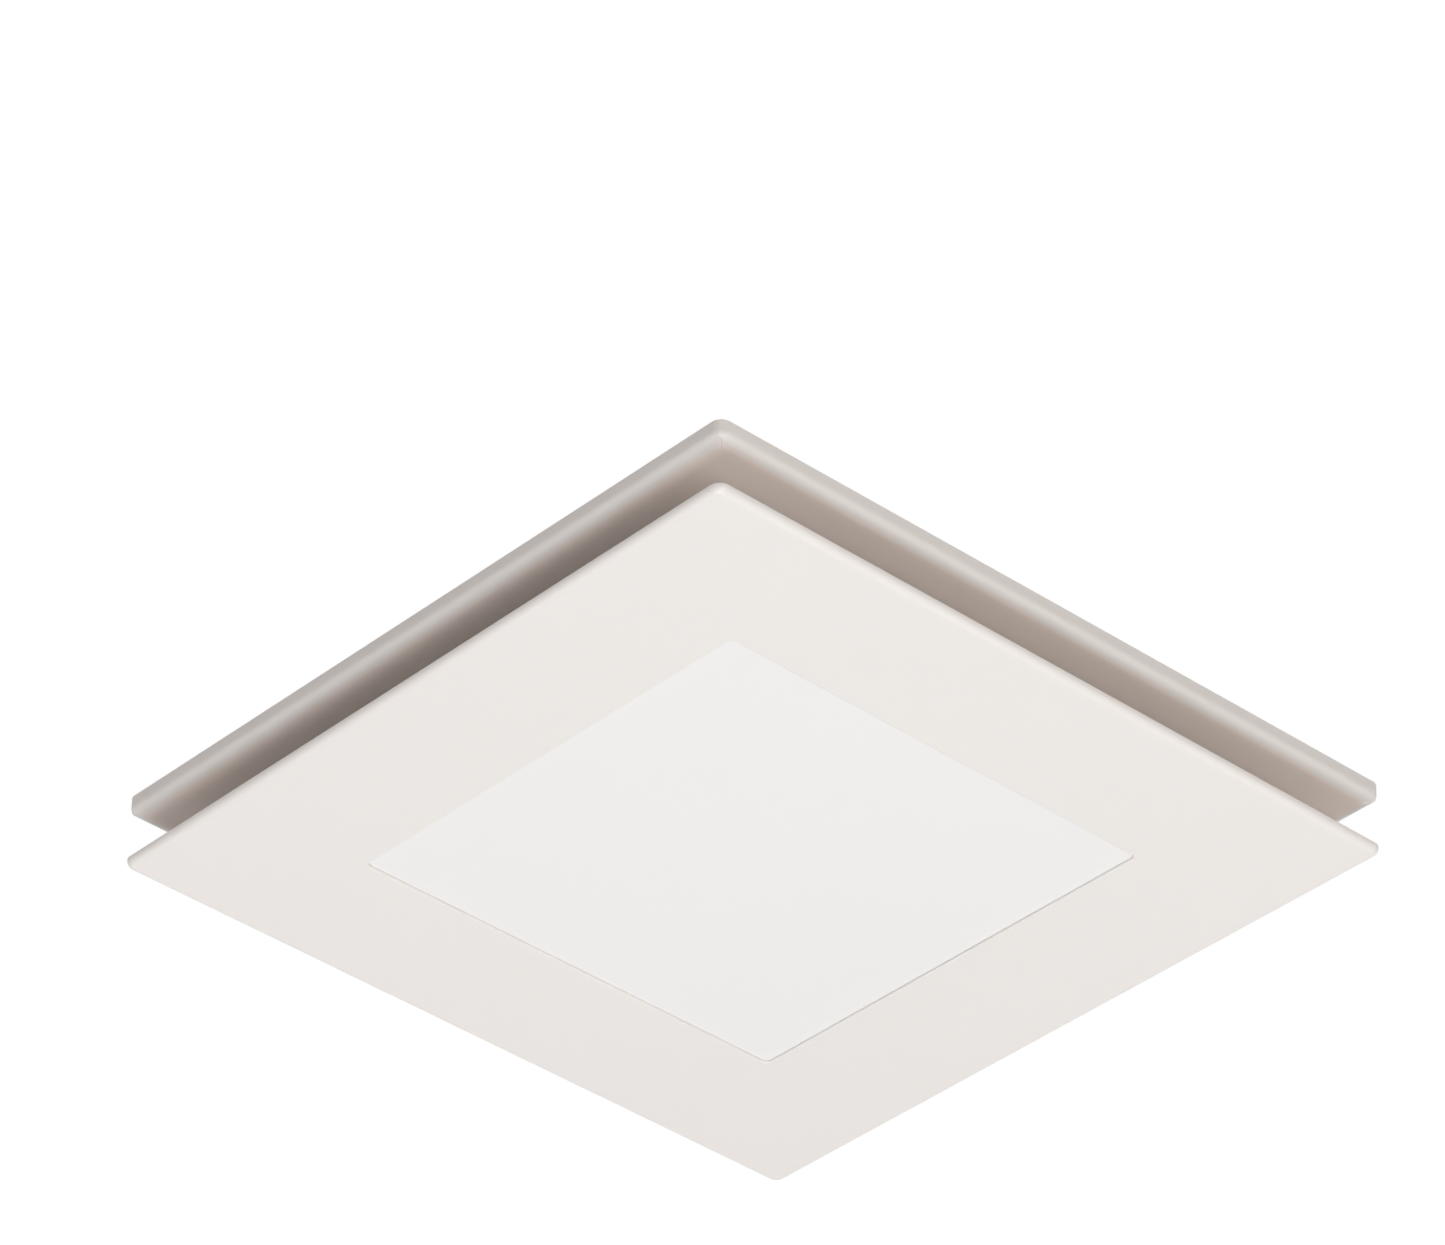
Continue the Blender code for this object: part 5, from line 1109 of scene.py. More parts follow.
class FAN_OT_stage(bpy.types.Operator):
    """Add the camera, the lamps, the pale ceiling and the floor"""
    bl_idname = "fan.stage"
    bl_label = "Stage"

    def execute(self, context):
        add_camera()
        room = context.scene.fan_room
        for name, settings in LAMPS.items():
            add_lamp(name + "_lamp", *settings, getattr(room, name))
        stage_sheet("ceiling", [square_at(CUTOUT_HALF, 0), square_at(CEILING_HALF, 0)],
                    pale_surface("ceiling_paint", CEILING_COLOUR, True), False)
        stage_sheet("floor", [square_at(FLOOR_HALF, FLOOR_LEVEL)],
                    pale_surface("floor_paint", FLOOR_COLOUR, False), True)
        add_world(context.scene, room.world)
        context.scene.view_settings.view_transform = "Standard"
        return {"FINISHED"}


# Fixings

def rivet():
    return lone(turned, sized(RIVET_PROFILE), SMALL_STEPS, closed=False)


def hex_screw():
    """Sheet-metal screw with a hexagon head on its washer."""
    data = lone(turned, sized(WASHER_PROFILE), SMALL_STEPS, closed=False)
    turned(data, sized(HEX_PROFILE), HEX_SIDES, closed=False)
    return data


def crossed(piece, size, floor):
    """Bmesh of a screw with a cross recess in its head. The piece it is cut in goes."""
    across = Vector((size.x / 2, size.y / 2, 0))
    for degrees in (0, 90):
        slot = lone(block, Vector((0, 0, floor)) - across, Vector((0, 0, floor + size.z)) + across,
                    size.y * RECESS_EDGE_SHARE, spun(degrees, "Z"))
        carve(piece, slot)
    return taken(piece)


def pan_screw():
    head = lone(turned, sized(PAN_PROFILE), SMALL_STEPS, closed=False)
    return crossed(raw_piece("pan_screw", head), RECESS, RECESS_FLOOR)


def motor_screw():
    screw = lone(turned, sized(SCREW_PROFILE), ROUND_STEPS, closed=False)
    return crossed(raw_piece("motor_screw", screw), SCREW_RECESS, SCREW_RECESS_FLOOR)


# Pieces

class FanPiece:
    """What the pieces' operators share."""

    def execute(self, context):
        self.build(context.scene.fan_shapes)
        return {"FINISHED"}


def creased(ring, depth):
    """Square ring with the middle of each corner pressed up, as at a mitre."""
    for quarter in range(4):
        middle = quarter * (CORNER_STEPS + SIDE_STEPS) + CORNER_STEPS // 2
        for step, share in CREASE_SHARES:
            x, y, level = ring[middle + step]
            ring[middle + step] = (x, y, level + depth * share)
    return ring


def bezel_rings():
    """Rings of the bezel: rolled edge, throat, collar and hollow back."""
    roll_drop = -UNDERSIDE - BEZEL_WALL_DROP
    rings = [square_ring(BEZEL_HALF, BEZEL_CORNER, 0)]
    for sine, cosine in right_angle(ROLL_STEPS):
        inset = BEZEL_ROLL_INSET * (1 - cosine)
        drop = BEZEL_WALL_DROP + roll_drop * sine ** BEZEL_ROLL_POWER
        corner = max(BEZEL_CORNER - BEZEL_CORNER_TAPER_SHARE * inset, BEZEL_LEAST_CORNER)
        crease = BEZEL_CREASE * 2 * sine * cosine
        rings.append(creased(square_ring(BEZEL_HALF - inset, corner, -drop), crease))
    for sine, cosine in right_angle(LIP_STEPS):
        rings.append(ring_at(matching_circle(THROAT_RADIUS + THROAT_LIP * (1 - sine)),
                             UNDERSIDE + THROAT_LIP * (1 - cosine)))
    rings.append(ring_at(matching_circle(THROAT_RADIUS), BEZEL_TOP))
    inner = (COLLAR_HALF - COLLAR_WALL, COLLAR_CORNER - COLLAR_WALL)
    outer = (COLLAR_HALF, COLLAR_CORNER)
    back = (BEZEL_HALF - BEZEL_RIM, BEZEL_BACK_CORNER)
    return rings + [square_ring(*inner, BEZEL_TOP), square_ring(*inner, COLLAR_TOP),
                    square_ring(*outer, COLLAR_TOP), square_ring(*outer, BEZEL_TOP),
                    square_ring(*back, BEZEL_TOP), square_ring(*back, 0)]


def bezel_piece():
    """Square moulding with holes for the fascia's posts and its plug."""
    holes = bmesh.new()
    for turn in even_turns():
        drill(holes, POST_HOLE, UNDERSIDE, BEZEL_TOP, SMALL_STEPS,
              turn @ Matrix.Translation((POST_PLACE, POST_PLACE, 0)))
    block(holes, (*PLUG_HOLE_LOW, UNDERSIDE - OVERRUN), (*PLUG_HOLE_HIGH, BEZEL_TOP + OVERRUN), GUARD_EDGE)
    return carve(raw_piece("bezel_moulding", lone(loft, bezel_rings(), True)), holes)


class FAN_OT_bezel(FanPiece, bpy.types.Operator):
    """Add the bezel, the ribs of its collar and the foam gasket in its back"""
    bl_idname = "fan.bezel"
    bl_label = "Bezel"

    def build(self, shapes):
        publish(bezel_piece(), "housing", "moulded_white", "bezel")
        row = bmesh.new()
        half = COLLAR_RIB_WIDTH / 2
        for across in spaced(COLLAR_RIB_SPAN, shapes.collar_ribs):
            block(row, (COLLAR_HALF - SINK, across - half, COLLAR_RIB_LOW),
                  (COLLAR_HALF + COLLAR_RIB_PROUD, across + half, COLLAR_TOP - SINK), shapes.edge)
        publish_copies("collar_ribs", row, "housing", "moulded_white")
        dress("ceiling_gasket", "sealing_foam", shapes.edge)


def fascia_data():
    """Floating square plate with a rounded lower edge and a window with a broken edge."""
    rings = [square_ring(FASCIA_HALF, FASCIA_CORNER, FASCIA_TOP)]
    for sine, cosine in right_angle(ROLL_STEPS):
        inset = FASCIA_EDGE_ROUND * (1 - cosine)
        level = FASCIA_FACE + FASCIA_EDGE_ROUND * (1 - sine)
        rings.append(square_ring(FASCIA_HALF - inset, FASCIA_CORNER - inset, level))
    for sine, cosine in right_angle(LIP_STEPS):
        reach = WINDOW_ROUND * (1 - sine)
        level = FASCIA_FACE + WINDOW_ROUND * (1 - cosine)
        rings.append(square_ring(WINDOW_HALF + reach, WINDOW_CORNER + reach, level))
    rings.append(square_ring(WINDOW_HALF, WINDOW_CORNER, FASCIA_TOP))
    return lone(loft, rings, True)


class FAN_OT_fascia(FanPiece, bpy.types.Operator):
    """Add the floating fascia with the carrier and its posts on its back"""
    bl_idname = "fan.fascia"
    bl_label = "Fascia"

    def build(self, shapes):
        publish_data("fascia_plate", fascia_data(), "fascia", "fascia_white", "fascia_panel")
        dress("fascia_carrier", "moulded_white", shapes.edge)
        gusset = lone(loft, [[(POST_FOOT, side, -SINK), (POST_FOOT + GUSSET.x, side, -SINK),
                              (POST_FOOT, side, GUSSET.z)] for side in (-GUSSET.y / 2, GUSSET.y / 2)])
        places = [turn @ at(POST_PLACE, POST_PLACE, CARRIER_TOP) @ spin
                  for turn in even_turns() for spin in even_turns()]
        publish_copies("post_gussets", gusset, "fascia", "moulded_white", places=places, edge=shapes.edge / 2)
        dress("light_plug", "moulded_black", shapes.edge)


def diffuser_data():
    """Opal plate with a softly broken edge, and the flange that it rests on."""
    boss = WINDOW_HALF - LIGHT_SLIP
    flange_level = FASCIA_TOP + SLIP
    rings = [square_ring(boss * share, WINDOW_CORNER * share, LIGHT_FACE) for share in FACE_SHARES]
    rings += [square_ring(boss - LIGHT_EDGE, WINDOW_CORNER - LIGHT_EDGE, LIGHT_FACE),
              square_ring(boss, WINDOW_CORNER, LIGHT_FACE + LIGHT_EDGE),
              square_ring(boss, WINDOW_CORNER, flange_level),
              square_ring(LIGHT_FLANGE_HALF, WINDOW_CORNER, flange_level),
              square_ring(LIGHT_FLANGE_HALF, WINDOW_CORNER, LIGHT_TOP)]
    return lone(loft, rings)


class FAN_OT_light(FanPiece, bpy.types.Operator):
    """Add the edge-lit panel: diffuser, light guide, strip with its lamps, reflector and tray"""
    bl_idname = "fan.light"
    bl_label = "Panel light"

    def build(self, shapes):
        publish_data("diffuser_plate", diffuser_data(), "fascia", "opal_sheet", "light_diffuser")
        dress("light_guide", "clear_acrylic", shapes.edge)
        dress("led_strip", "light_board", 0.0)
        dress("reflector_sheet", "reflector", 0.0)
        dress("light_back_plate", "drawn_aluminium", shapes.edge)
        row = bmesh.new()
        half = LAMP_CHIP / 2
        for across in spaced(LAMP_SPAN, shapes.lamps):
            block(row, (STRIP_INNER - LAMP_CHIP.x, across - half.y, STRIP_MIDDLE - half.z),
                  (STRIP_INNER + half.x, across + half.y, STRIP_MIDDLE + half.z), LAMP_CHIP.x / 4)
        publish_copies("lamp_chips", row, "fascia", "light_board")


def guard_data():
    """Round grille: hub, rings, rim and spokes."""
    inside = GUARD_HUB - GUARD_EDGE
    hub = [(inside, GUARD_LOW), (GUARD_HUB, GUARD_LOW + GUARD_EDGE),
           (GUARD_HUB, GUARD_HIGH - GUARD_EDGE), (inside, GUARD_HIGH)]
    data = lone(turned, hub, ROUND_STEPS, closed=False)
    half = GUARD_BAR / 2
    for inner, outer in (*[(radius - half, radius + half) for radius in GUARD_RINGS], GUARD_RIM):
        turned(data, bar_profile(inner, outer, GUARD_LOW, GUARD_HIGH, GUARD_EDGE), FINE_STEPS)
    spoke = lone(block, (GUARD_HUB - GUARD_BAR, -half, GUARD_LOW + GUARD_EDGE / 2),
                 (GUARD_RIM[0] + GUARD_BAR, half, GUARD_HIGH - GUARD_EDGE / 2), GUARD_EDGE)
    copied(data, spoke, "moulded_grey", count=GUARD_SPOKES)
    return data


def bend(wall):
    """Bend of the bell mouth, on its inner side or a wall away from it."""
    bend_top = INLET_FLANGE_TOP - INLET_WALL
    across = MOUTH_RADIUS - EYE_RADIUS - wall
    drop = bend_top - MOUTH_LEVEL - INLET_WALL - wall
    return [(MOUTH_RADIUS - across * sine, bend_top - drop * cosine)
            for sine, cosine in right_angle(ROLL_STEPS)]


def inlet_data():
    """Bell mouth from the grille up into the eye of the impeller."""
    inside, outside = bend(0), bend(INLET_WALL)
    bend_top = INLET_FLANGE_TOP - INLET_WALL
    lip = MOUTH_RADIUS + INLET_WALL
    outer = EYE_RADIUS + INLET_WALL
    profile = [(MOUTH_RADIUS, MOUTH_LEVEL), *inside, (EYE_RADIUS, EYE_TOP), (outer, EYE_TOP),
               (outer, INLET_FLANGE_TOP), (INLET_FLANGE, INLET_FLANGE_TOP), (INLET_FLANGE, bend_top),
               (outer + INLET_WALL, bend_top), *reversed(outside[:-1]), (lip, outside[0][1]),
               (lip, MOUTH_LEVEL)]
    return lone(turned, profile, FINE_STEPS)


class FAN_OT_inlet(FanPiece, bpy.types.Operator):
    """Add the finger guard and the bell mouth"""
    bl_idname = "fan.inlet"
    bl_label = "Inlet"

    def build(self, shapes):
        publish_data("guard_grille", guard_data(), "housing", "moulded_grey", "finger_guard")
        publish_data("bell_mouth", inlet_data(), "housing", "moulded_grey", "inlet_ring", edge=shapes.edge)


def spiral(offset, shelf):
    """Points of the scroll's spiral moved out by an offset, from where it leaves a level line."""
    first = math.asin(shelf / (SCROLL_START_RADIUS + offset))
    sweep = SCROLL_END_ANGLE - SCROLL_START_ANGLE
    points = []
    for index in range(SCROLL_STEPS + 1):
        turn = first + (SCROLL_END_ANGLE - first) * index / SCROLL_STEPS
        share = (turn - SCROLL_START_ANGLE) / sweep
        radius = SCROLL_START_RADIUS + (SCROLL_END_RADIUS - SCROLL_START_RADIUS) * share + offset
        points.append((radius * math.cos(turn), radius * math.sin(turn)))
    return points


def scroll_path(offset):
    """Plan of the scroll from the outlet along the tongue, round the spiral and back to the outlet."""
    shelf = TONGUE_Y + offset - SCROLL_WALL
    return [(OUTLET_REACH, shelf), *spiral(offset, shelf), (OUTLET_REACH, -SCROLL_END_RADIUS - offset)]


def scroll_data():
    """Spiral wall with the flange that its foot is fixed by."""
    data = lone(band, scroll_path(0), scroll_path(SCROLL_WALL), DECK, SCROLL_TOP)
    band(data, scroll_path(SCROLL_WALL - SINK), scroll_path(SCROLL_WALL + FOOT_WIDTH), DECK,
         DECK + FOOT_SHEET)
    return data


def cover_data():
    """Top of the scroll with a turned-down edge, a pressed ring and pressed ribs."""
    reach = SCROLL_WALL + COVER_OVERHANG
    outline = scroll_path(reach)
    plate = raw_piece("cover", lone(loft, [ring_at(outline, level) for level in (COVER_LEVEL, COVER_TOP)]))
    data = taken(carve(plate, lone(drill, COVER_HOLE, COVER_LEVEL, COVER_TOP, ROUND_STEPS)))
    band(data, scroll_path(reach - COVER_LIP_SHEET), outline, COVER_LEVEL - COVER_LIP_DROP,
         COVER_LEVEL + SINK)
    turned(data, sized(COVER_BEAD, COVER_TOP), FINE_STEPS)
    copied(data, pressed(COVER_RIB, COVER_TOP, COVER_RIB_EDGE), "zinc_sheet", count=COVER_RIBS)
    return data


class FAN_OT_housing(FanPiece, bpy.types.Operator):
    """Add the base plate, the scroll, its cover and their fixings"""
    bl_idname = "fan.housing"
    bl_label = "Housing"

    def build(self, shapes):
        edge = shapes.sheet_edge
        dress("base_plate", "zinc_sheet", edge)
        publish_copies("base_beads", pressed(BASE_BEAD, BASE_TOP, BASE_BEAD_EDGE), "housing", "zinc_sheet")
        publish_data("scroll_sheet", scroll_data(), "housing", "zinc_sheet", "scroll_wall", edge=edge)
        publish_data("scroll_lid", cover_data(), "housing", "zinc_sheet", "scroll_cover", edge=edge)
        foot = along_path(scroll_path(SCROLL_WALL + FOOT_WIDTH / 2), FOOT_RIVET_SPACING)
        publish_copies("foot_rivets", rivet(), "housing", "bright_steel",
                       places=[at(*place, DECK + FOOT_SHEET) for place in foot])
        rim = along_path(scroll_path(SCROLL_WALL / 2), COVER_SCREW_SPACING)
        places = [at(*place, COVER_TOP, place.x / MM) for place in rim]
        places += [at(x * MM, y * MM, BASE_TOP, x) for x, y in BASE_SCREWS]
        earth = at(*EARTH_PLACE, BASE_TOP)
        screws = lone(copied, hex_screw(), "bright_steel", [*places, earth])
        turned(screws, sized(EARTH_STUD), SMALL_STEPS, earth, closed=False)
        publish_data("housing_screws", screws, "housing", "bright_steel")


def blade_outline():
    """Section of one forward-curved blade, in plan, at angle zero."""
    front = []
    back = []
    for index in range(BLADE_STEPS + 1):
        share = index / BLADE_STEPS
        hump = 4 * share * (1 - share)
        y = BLADE_RISE * share * (2 * share - 1) - BLADE_BOW * hump
        x = BLADE_INNER + BLADE_CHORD * share
        front.append((x, y))
        back.append((x, y - BLADE_EDGE - (BLADE_THICKNESS - BLADE_EDGE) * hump))
    return front + list(reversed(back))


class FAN_OT_impeller(FanPiece, bpy.types.Operator):
    """Add the impeller with its nut, shaft and rotor"""
    bl_idname = "fan.impeller"
    bl_label = "Impeller"

    def build(self, shapes):
        data = lone(turned, sized(IMPELLER_PLATE), FINE_STEPS)
        turned(data, sized(IMPELLER_SHROUD), FINE_STEPS)
        blade = lone(loft, [ring_at(blade_outline(), level) for level in BLADE_LEVELS])
        copied(data, blade, "moulded_black", count=BLADE_COUNT)
        copied(data, lone(block, *WEB, WEB_EDGE), "moulded_black", count=WEB_COUNT)
        publish_data("impeller_wheel", data, "impeller", "moulded_black", "impeller")
        for name in ("impeller_nut", "motor_shaft", "rotor"):
            dress(name, "bright_steel", shapes.sheet_edge)


def ear_data():
    """Ear of the motor's casing, round outside and straight towards the casing, with its hole."""
    outer = []
    for index in range(ROUND_STEPS):
        turn = math.tau * index / ROUND_STEPS
        across, along = abs(math.sin(turn)), math.cos(turn)
        reach = EAR_RADIUS if along >= 0 else min(EAR_RADIUS / max(across, LEAST_SINE), EAR_ROOT / -along)
        outer.append((FIXING_RADIUS + reach * along, reach * math.sin(turn)))
    inner = circle(NECK_HOLE, ROUND_STEPS, (FIXING_RADIUS, 0))
    low, high = EAR_LEVELS
    rings = [ring_at(outer, low), ring_at(outer, high), ring_at(inner, high), ring_at(inner, low)]
    return lone(loft, rings, True)


def can_data(split):
    """Half of the motor's casing from its outer end to the rolled seam, turned about Z."""
    profile = sized(CAN_END)
    profile += [(CAN_RADIUS - CAN_EDGE * (1 - sine), CAN_EDGE * (1 - cosine))
                for sine, cosine in right_angle(CAN_EDGE_STEPS)[1:]]
    profile += [(CAN_RADIUS, split - 2 * CAN_SEAM_HEIGHT), (CAN_RADIUS + CAN_SEAM, split - CAN_SEAM_HEIGHT),
                (CAN_RADIUS + CAN_SEAM, split), (CAN_INNER, split)]
    return lone(turned, profile + sized(CAN_SEAT), FINE_STEPS)


def vented(piece, corners, count):
    """Cut a ring of slots through a casing half."""
    return carve(piece, lone(copied, lone(block, *corners, VENT_EDGE), "zinc_drawn", count=count))


def lower_can():
    """Lower half of the casing, with the ears that it hangs by."""
    data = can_data(CAN_SPLIT_LOW)
    copied(data, ear_data(), "zinc_drawn", count=FIXINGS)
    piece = vented(raw_piece("motor_casing_lower", data), VENT, VENT_COUNT)
    piece.data.transform(Matrix.Translation((0, 0, CAN_LEVEL)))
    return piece


def upper_can():
    """Upper half of the casing, turned over, with slots in its end too."""
    piece = vented(raw_piece("motor_casing_upper", can_data(CAN_SPLIT_HIGH)), VENT, VENT_COUNT)
    vented(piece, TOP_VENT, TOP_VENT_COUNT)
    piece.data.transform(Matrix.Translation((0, 0, CAN_TOP)) @ spun(180, "X"))
    return piece


class FAN_OT_motor(FanPiece, bpy.types.Operator):
    """Add the motor with its vents, winding, grommets and screws"""
    bl_idname = "fan.motor"
    bl_label = "Motor"

    def build(self, shapes):
        edge = shapes.sheet_edge
        publish(lower_can(), "housing", "zinc_drawn", "motor_can_lower", edge=edge)
        publish(upper_can(), "housing", "zinc_drawn", "motor_can_upper", edge=edge)
        for name in ("stator_core", "lower_bearing", "upper_bearing"):
            dress(name, "bright_steel", edge)
        publish_copies("coil_heads", lone(block, *COIL_HEAD, COIL_HEAD_EDGE), "housing", "winding",
                       "stator_winding", count=COIL_HEADS)
        grommet = lone(turned, sized(GROMMET_PROFILE), ROUND_STEPS)
        for name, source, finish, rounding in (("motor_grommet", grommet, "soft_rubber", shapes.edge),
                                               ("motor_screw", motor_screw(), "bright_steel", 0.0)):
            nodes = [name + "_%d" % index for index in range(1, FIXINGS + 1)]
            places = [turn @ at(FIXING_RADIUS, 0, NODE_LOW[nodes[0]].z) for turn in even_turns(FIXINGS)]
            publish_copies(name + "s", source, "housing", finish, *nodes, places=places, edge=rounding)


def gland_place():
    """Place of the gland: its Z runs out of the box."""
    centre = Vector((BOX_LOW.x, (BOX_LOW.y + BOX_HIGH.y) / 2, (BOX_LOW.z + BOX_HIGH.z) / 2))
    return Matrix.Translation(centre) @ spun(-90, "Y")


def terminal_box_piece():
    """Open box with a wall, and the hole for the gland."""
    wall = Vector((BOX_WALL, BOX_WALL, BOX_WALL))
    top = (BOX_HIGH.x - BOX_WALL, BOX_HIGH.y - BOX_WALL, BOX_HIGH.z + BOX_EDGE + OVERRUN)
    piece = raw_piece("terminal_box_shell", lone(block, BOX_LOW, BOX_HIGH, BOX_EDGE))
    carve(piece, lone(block, BOX_LOW + wall, top, BOX_EDGE))
    return carve(piece, lone(drill, GLAND_THREAD_HOLE, -BOX_WALL, 0, ROUND_STEPS, gland_place()))


def box_lid_data():
    """Lid with a raised panel and a lip inside the box."""
    data = bmesh.new()
    panel_top = LID_TOP + LID_PANEL_PROUD
    for inset, low, high, edge in ((0, LID_LEVEL, LID_TOP, BOX_EDGE / 2),
                                   (LID_PANEL_INSET, LID_TOP - SINK, panel_top, LID_PANEL_PROUD / 2),
                                   (BOX_WALL + SLIP, LID_LEVEL - LID_LIP, LID_LEVEL + SINK, SINK)):
        block(data, (BOX_LOW.x + inset, BOX_LOW.y + inset, low),
              (BOX_HIGH.x - inset, BOX_HIGH.y - inset, high), edge)
    return data


def gland_data():
    """Hexagon, dome nut with grips, and the bore for the cable."""
    low, high = GLAND_HEX[0][1] * MM, GLAND_HEX[-1][1] * MM
    hexagon = raw_piece("gland_hexagon", lone(turned, sized(GLAND_HEX), HEX_SIDES, closed=False))
    data = taken(carve(hexagon, lone(drill, GLAND_THREAD_HOLE - SLIP, low, high, ROUND_STEPS)))
    turned(data, sized(GLAND_BODY), ROUND_STEPS)
    copied(data, lone(block, *GLAND_GRIP, GLAND_GRIP_EDGE), "moulded_black", count=GLAND_GRIPS)
    bmesh.ops.transform(data, matrix=gland_place(), verts=data.verts)
    return data


def add_box(edge):
    """Terminal box with its lid, knock-outs, terminals and gland."""
    publish(terminal_box_piece(), "housing", "moulded_grey", "terminal_box")
    publish_data("box_lid", box_lid_data(), "housing", "moulded_grey", "terminal_box_lid")
    middle = (BOX_LOW + BOX_HIGH) / 2
    half = KNOCKOUT_SPACING / 2
    places = [Matrix.Translation((x, BOX_HIGH.y, middle.z)) @ spun(-90, "X")
              for x in (middle.x - half, middle.x + half)]
    publish_copies("knockouts", lone(turned, sized(KNOCKOUT_PROFILE), ROUND_STEPS), "housing",
                   "moulded_grey", places=places)
    dress("terminal_block", "nylon", edge)
    publish_data("gland_nut", gland_data(), "housing", "moulded_black", "cable_gland")
    publish_data("gland_seal", lone(turned, sized(GLAND_SEAL), ROUND_STEPS, gland_place()), "housing",
                 "soft_rubber")


def add_capacitor():
    """Rolled can with its two blades."""
    low, high = NODE_LOW["capacitor"], NODE_HIGH["capacitor"]
    foot = at((low.x + high.x) / 2, (low.y + high.y) / 2, low.z, math.pi / 4)
    can = lone(turned, sized(CAPACITOR_PROFILE), FINE_STEPS, foot, closed=False)
    publish_data("capacitor_can", can, "housing", "drawn_aluminium", "capacitor")
    blades = bmesh.new()
    half = CAPACITOR_BLADE / 2
    for side in (-1, 1):
        x = side * CAPACITOR_BLADE_SPACING / 2
        block(blades, (x - half.x, -half.y, CAPACITOR_FLOOR),
              (x + half.x, half.y, CAPACITOR_FLOOR + CAPACITOR_BLADE.z), half.x / 2, foot)
    publish_data("capacitor_blades", blades, "housing", "bright_steel")


def driver_piece():
    """Sealed box with the slot of the colour switch in its top."""
    middle = DRIVER_MIDDLE
    half = SWITCH_SLOT / 2
    slot = lone(block, (middle.x - half.x, middle.y - half.y, DRIVER_HIGH.z - SWITCH_SLOT.z),
                (middle.x + half.x, middle.y + half.y, DRIVER_HIGH.z + OVERRUN), KNOB_EDGE)
    return carve(raw_piece("driver_case", lone(block, DRIVER_LOW, DRIVER_HIGH, DRIVER_EDGE)), slot)


def add_bands(data):
    """Bands round the driver's ends."""
    proud = Vector((0, DRIVER_BAND_PROUD, DRIVER_BAND_PROUD))
    inset = 2 * DRIVER_EDGE
    for start in (DRIVER_LOW.x + inset, DRIVER_HIGH.x - inset - DRIVER_BAND):
        low = Vector((start, DRIVER_LOW.y, DRIVER_LOW.z + DRIVER_BAND_PROUD)) - proud
        high = Vector((start + DRIVER_BAND, DRIVER_HIGH.y, DRIVER_HIGH.z)) + proud
        block(data, low, high, DRIVER_BAND_PROUD)


def add_fins(data):
    """Fins down the driver's sides."""
    inset = 2 * DRIVER_EDGE
    span = DRIVER_HIGH.x - DRIVER_LOW.x - 2 * (DRIVER_BAND + inset)
    half = DRIVER_FIN_WIDTH / 2
    for index in range(DRIVER_FINS):
        x = DRIVER_LOW.x + DRIVER_BAND + inset + span * (index + 0.5) / DRIVER_FINS
        for near, far in ((DRIVER_LOW.y - DRIVER_FIN_PROUD, DRIVER_LOW.y + SINK),
                          (DRIVER_HIGH.y - SINK, DRIVER_HIGH.y + DRIVER_FIN_PROUD)):
            block(data, (x - half, near, DRIVER_LOW.z + DRIVER_EDGE),
                  (x + half, far, DRIVER_HIGH.z - DRIVER_EDGE), SINK)


def driver_details():
    """End bands, side fins, the three ticks of the switch's places, and the ears."""
    data = lone(add_bands)
    add_fins(data)
    for index in (-1, 0, 1):
        x = DRIVER_MIDDLE.x + TICK_SPACING * index
        y = DRIVER_MIDDLE.y + TICK_PLACE
        block(data, (x - DRIVER_TICK.x / 2, y, DRIVER_HIGH.z - SINK),
              (x + DRIVER_TICK.x / 2, y + DRIVER_TICK.y, DRIVER_HIGH.z + DRIVER_TICK.z), DRIVER_TICK.z / 3)
    for x, y, degrees in DRIVER_EARS:
        block(data, *EAR_TAB, EAR_TAB_EDGE, at(x * MM, y * MM, DECK, math.radians(degrees)))
    return data


def knob_data():
    """Sliding knob of the colour switch with three grip ridges."""
    low, high = NODE_LOW["colour_switch"], NODE_HIGH["colour_switch"].copy()
    middle = (low + high) / 2
    high.z -= KNOB_GRIP.z / 2
    data = lone(block, low, high, KNOB_EDGE)
    for index in (-1, 0, 1):
        x = middle.x + index * 3 * KNOB_GRIP.x
        block(data, (x - KNOB_GRIP.x / 2, middle.y - KNOB_GRIP.y / 2, high.z - SINK),
              (x + KNOB_GRIP.x / 2, middle.y + KNOB_GRIP.y / 2, high.z + KNOB_GRIP.z / 2), KNOB_GRIP.x / 4)
    return data


def add_driver():
    """Light's driver with its details and the knob of its switch."""
    publish(driver_piece(), "housing", "moulded_white", "led_driver")
    publish_data("driver_ribs", driver_details(), "housing", "moulded_white")
    publish_data("switch_knob", knob_data(), "colour_switch", "moulded_black", "colour_switch")


def add_screws():
    """Pan-head screws in the box's lid and the driver's ears."""
    inset = Vector((LID_SCREW_INSET, LID_SCREW_INSET, 0))
    low, high = BOX_LOW + inset, BOX_HIGH - inset
    places = [at(x, y, LID_TOP, x / MM) for x in (low.x, high.x) for y in (low.y, high.y)]
    places += [at(x * MM, y * MM, DECK + EAR_TAB[1][2], x) for x, y, _ in DRIVER_EARS]
    publish_copies("pan_screws", pan_screw(), "housing", "bright_steel", places=places)


def lead_end(name, axis, side):
    """Middle of the ring of points where a lead ends, the furthest along an axis."""
    points = [vert.co for vert in frame["nodes"][name].data.vertices]
    edge = max(side * point[axis] for point in points)
    ring = [point for point in points if side * point[axis] > edge - LEAD_RING_REACH]
    return Matrix.Translation(sum(ring, Vector()) / len(ring))


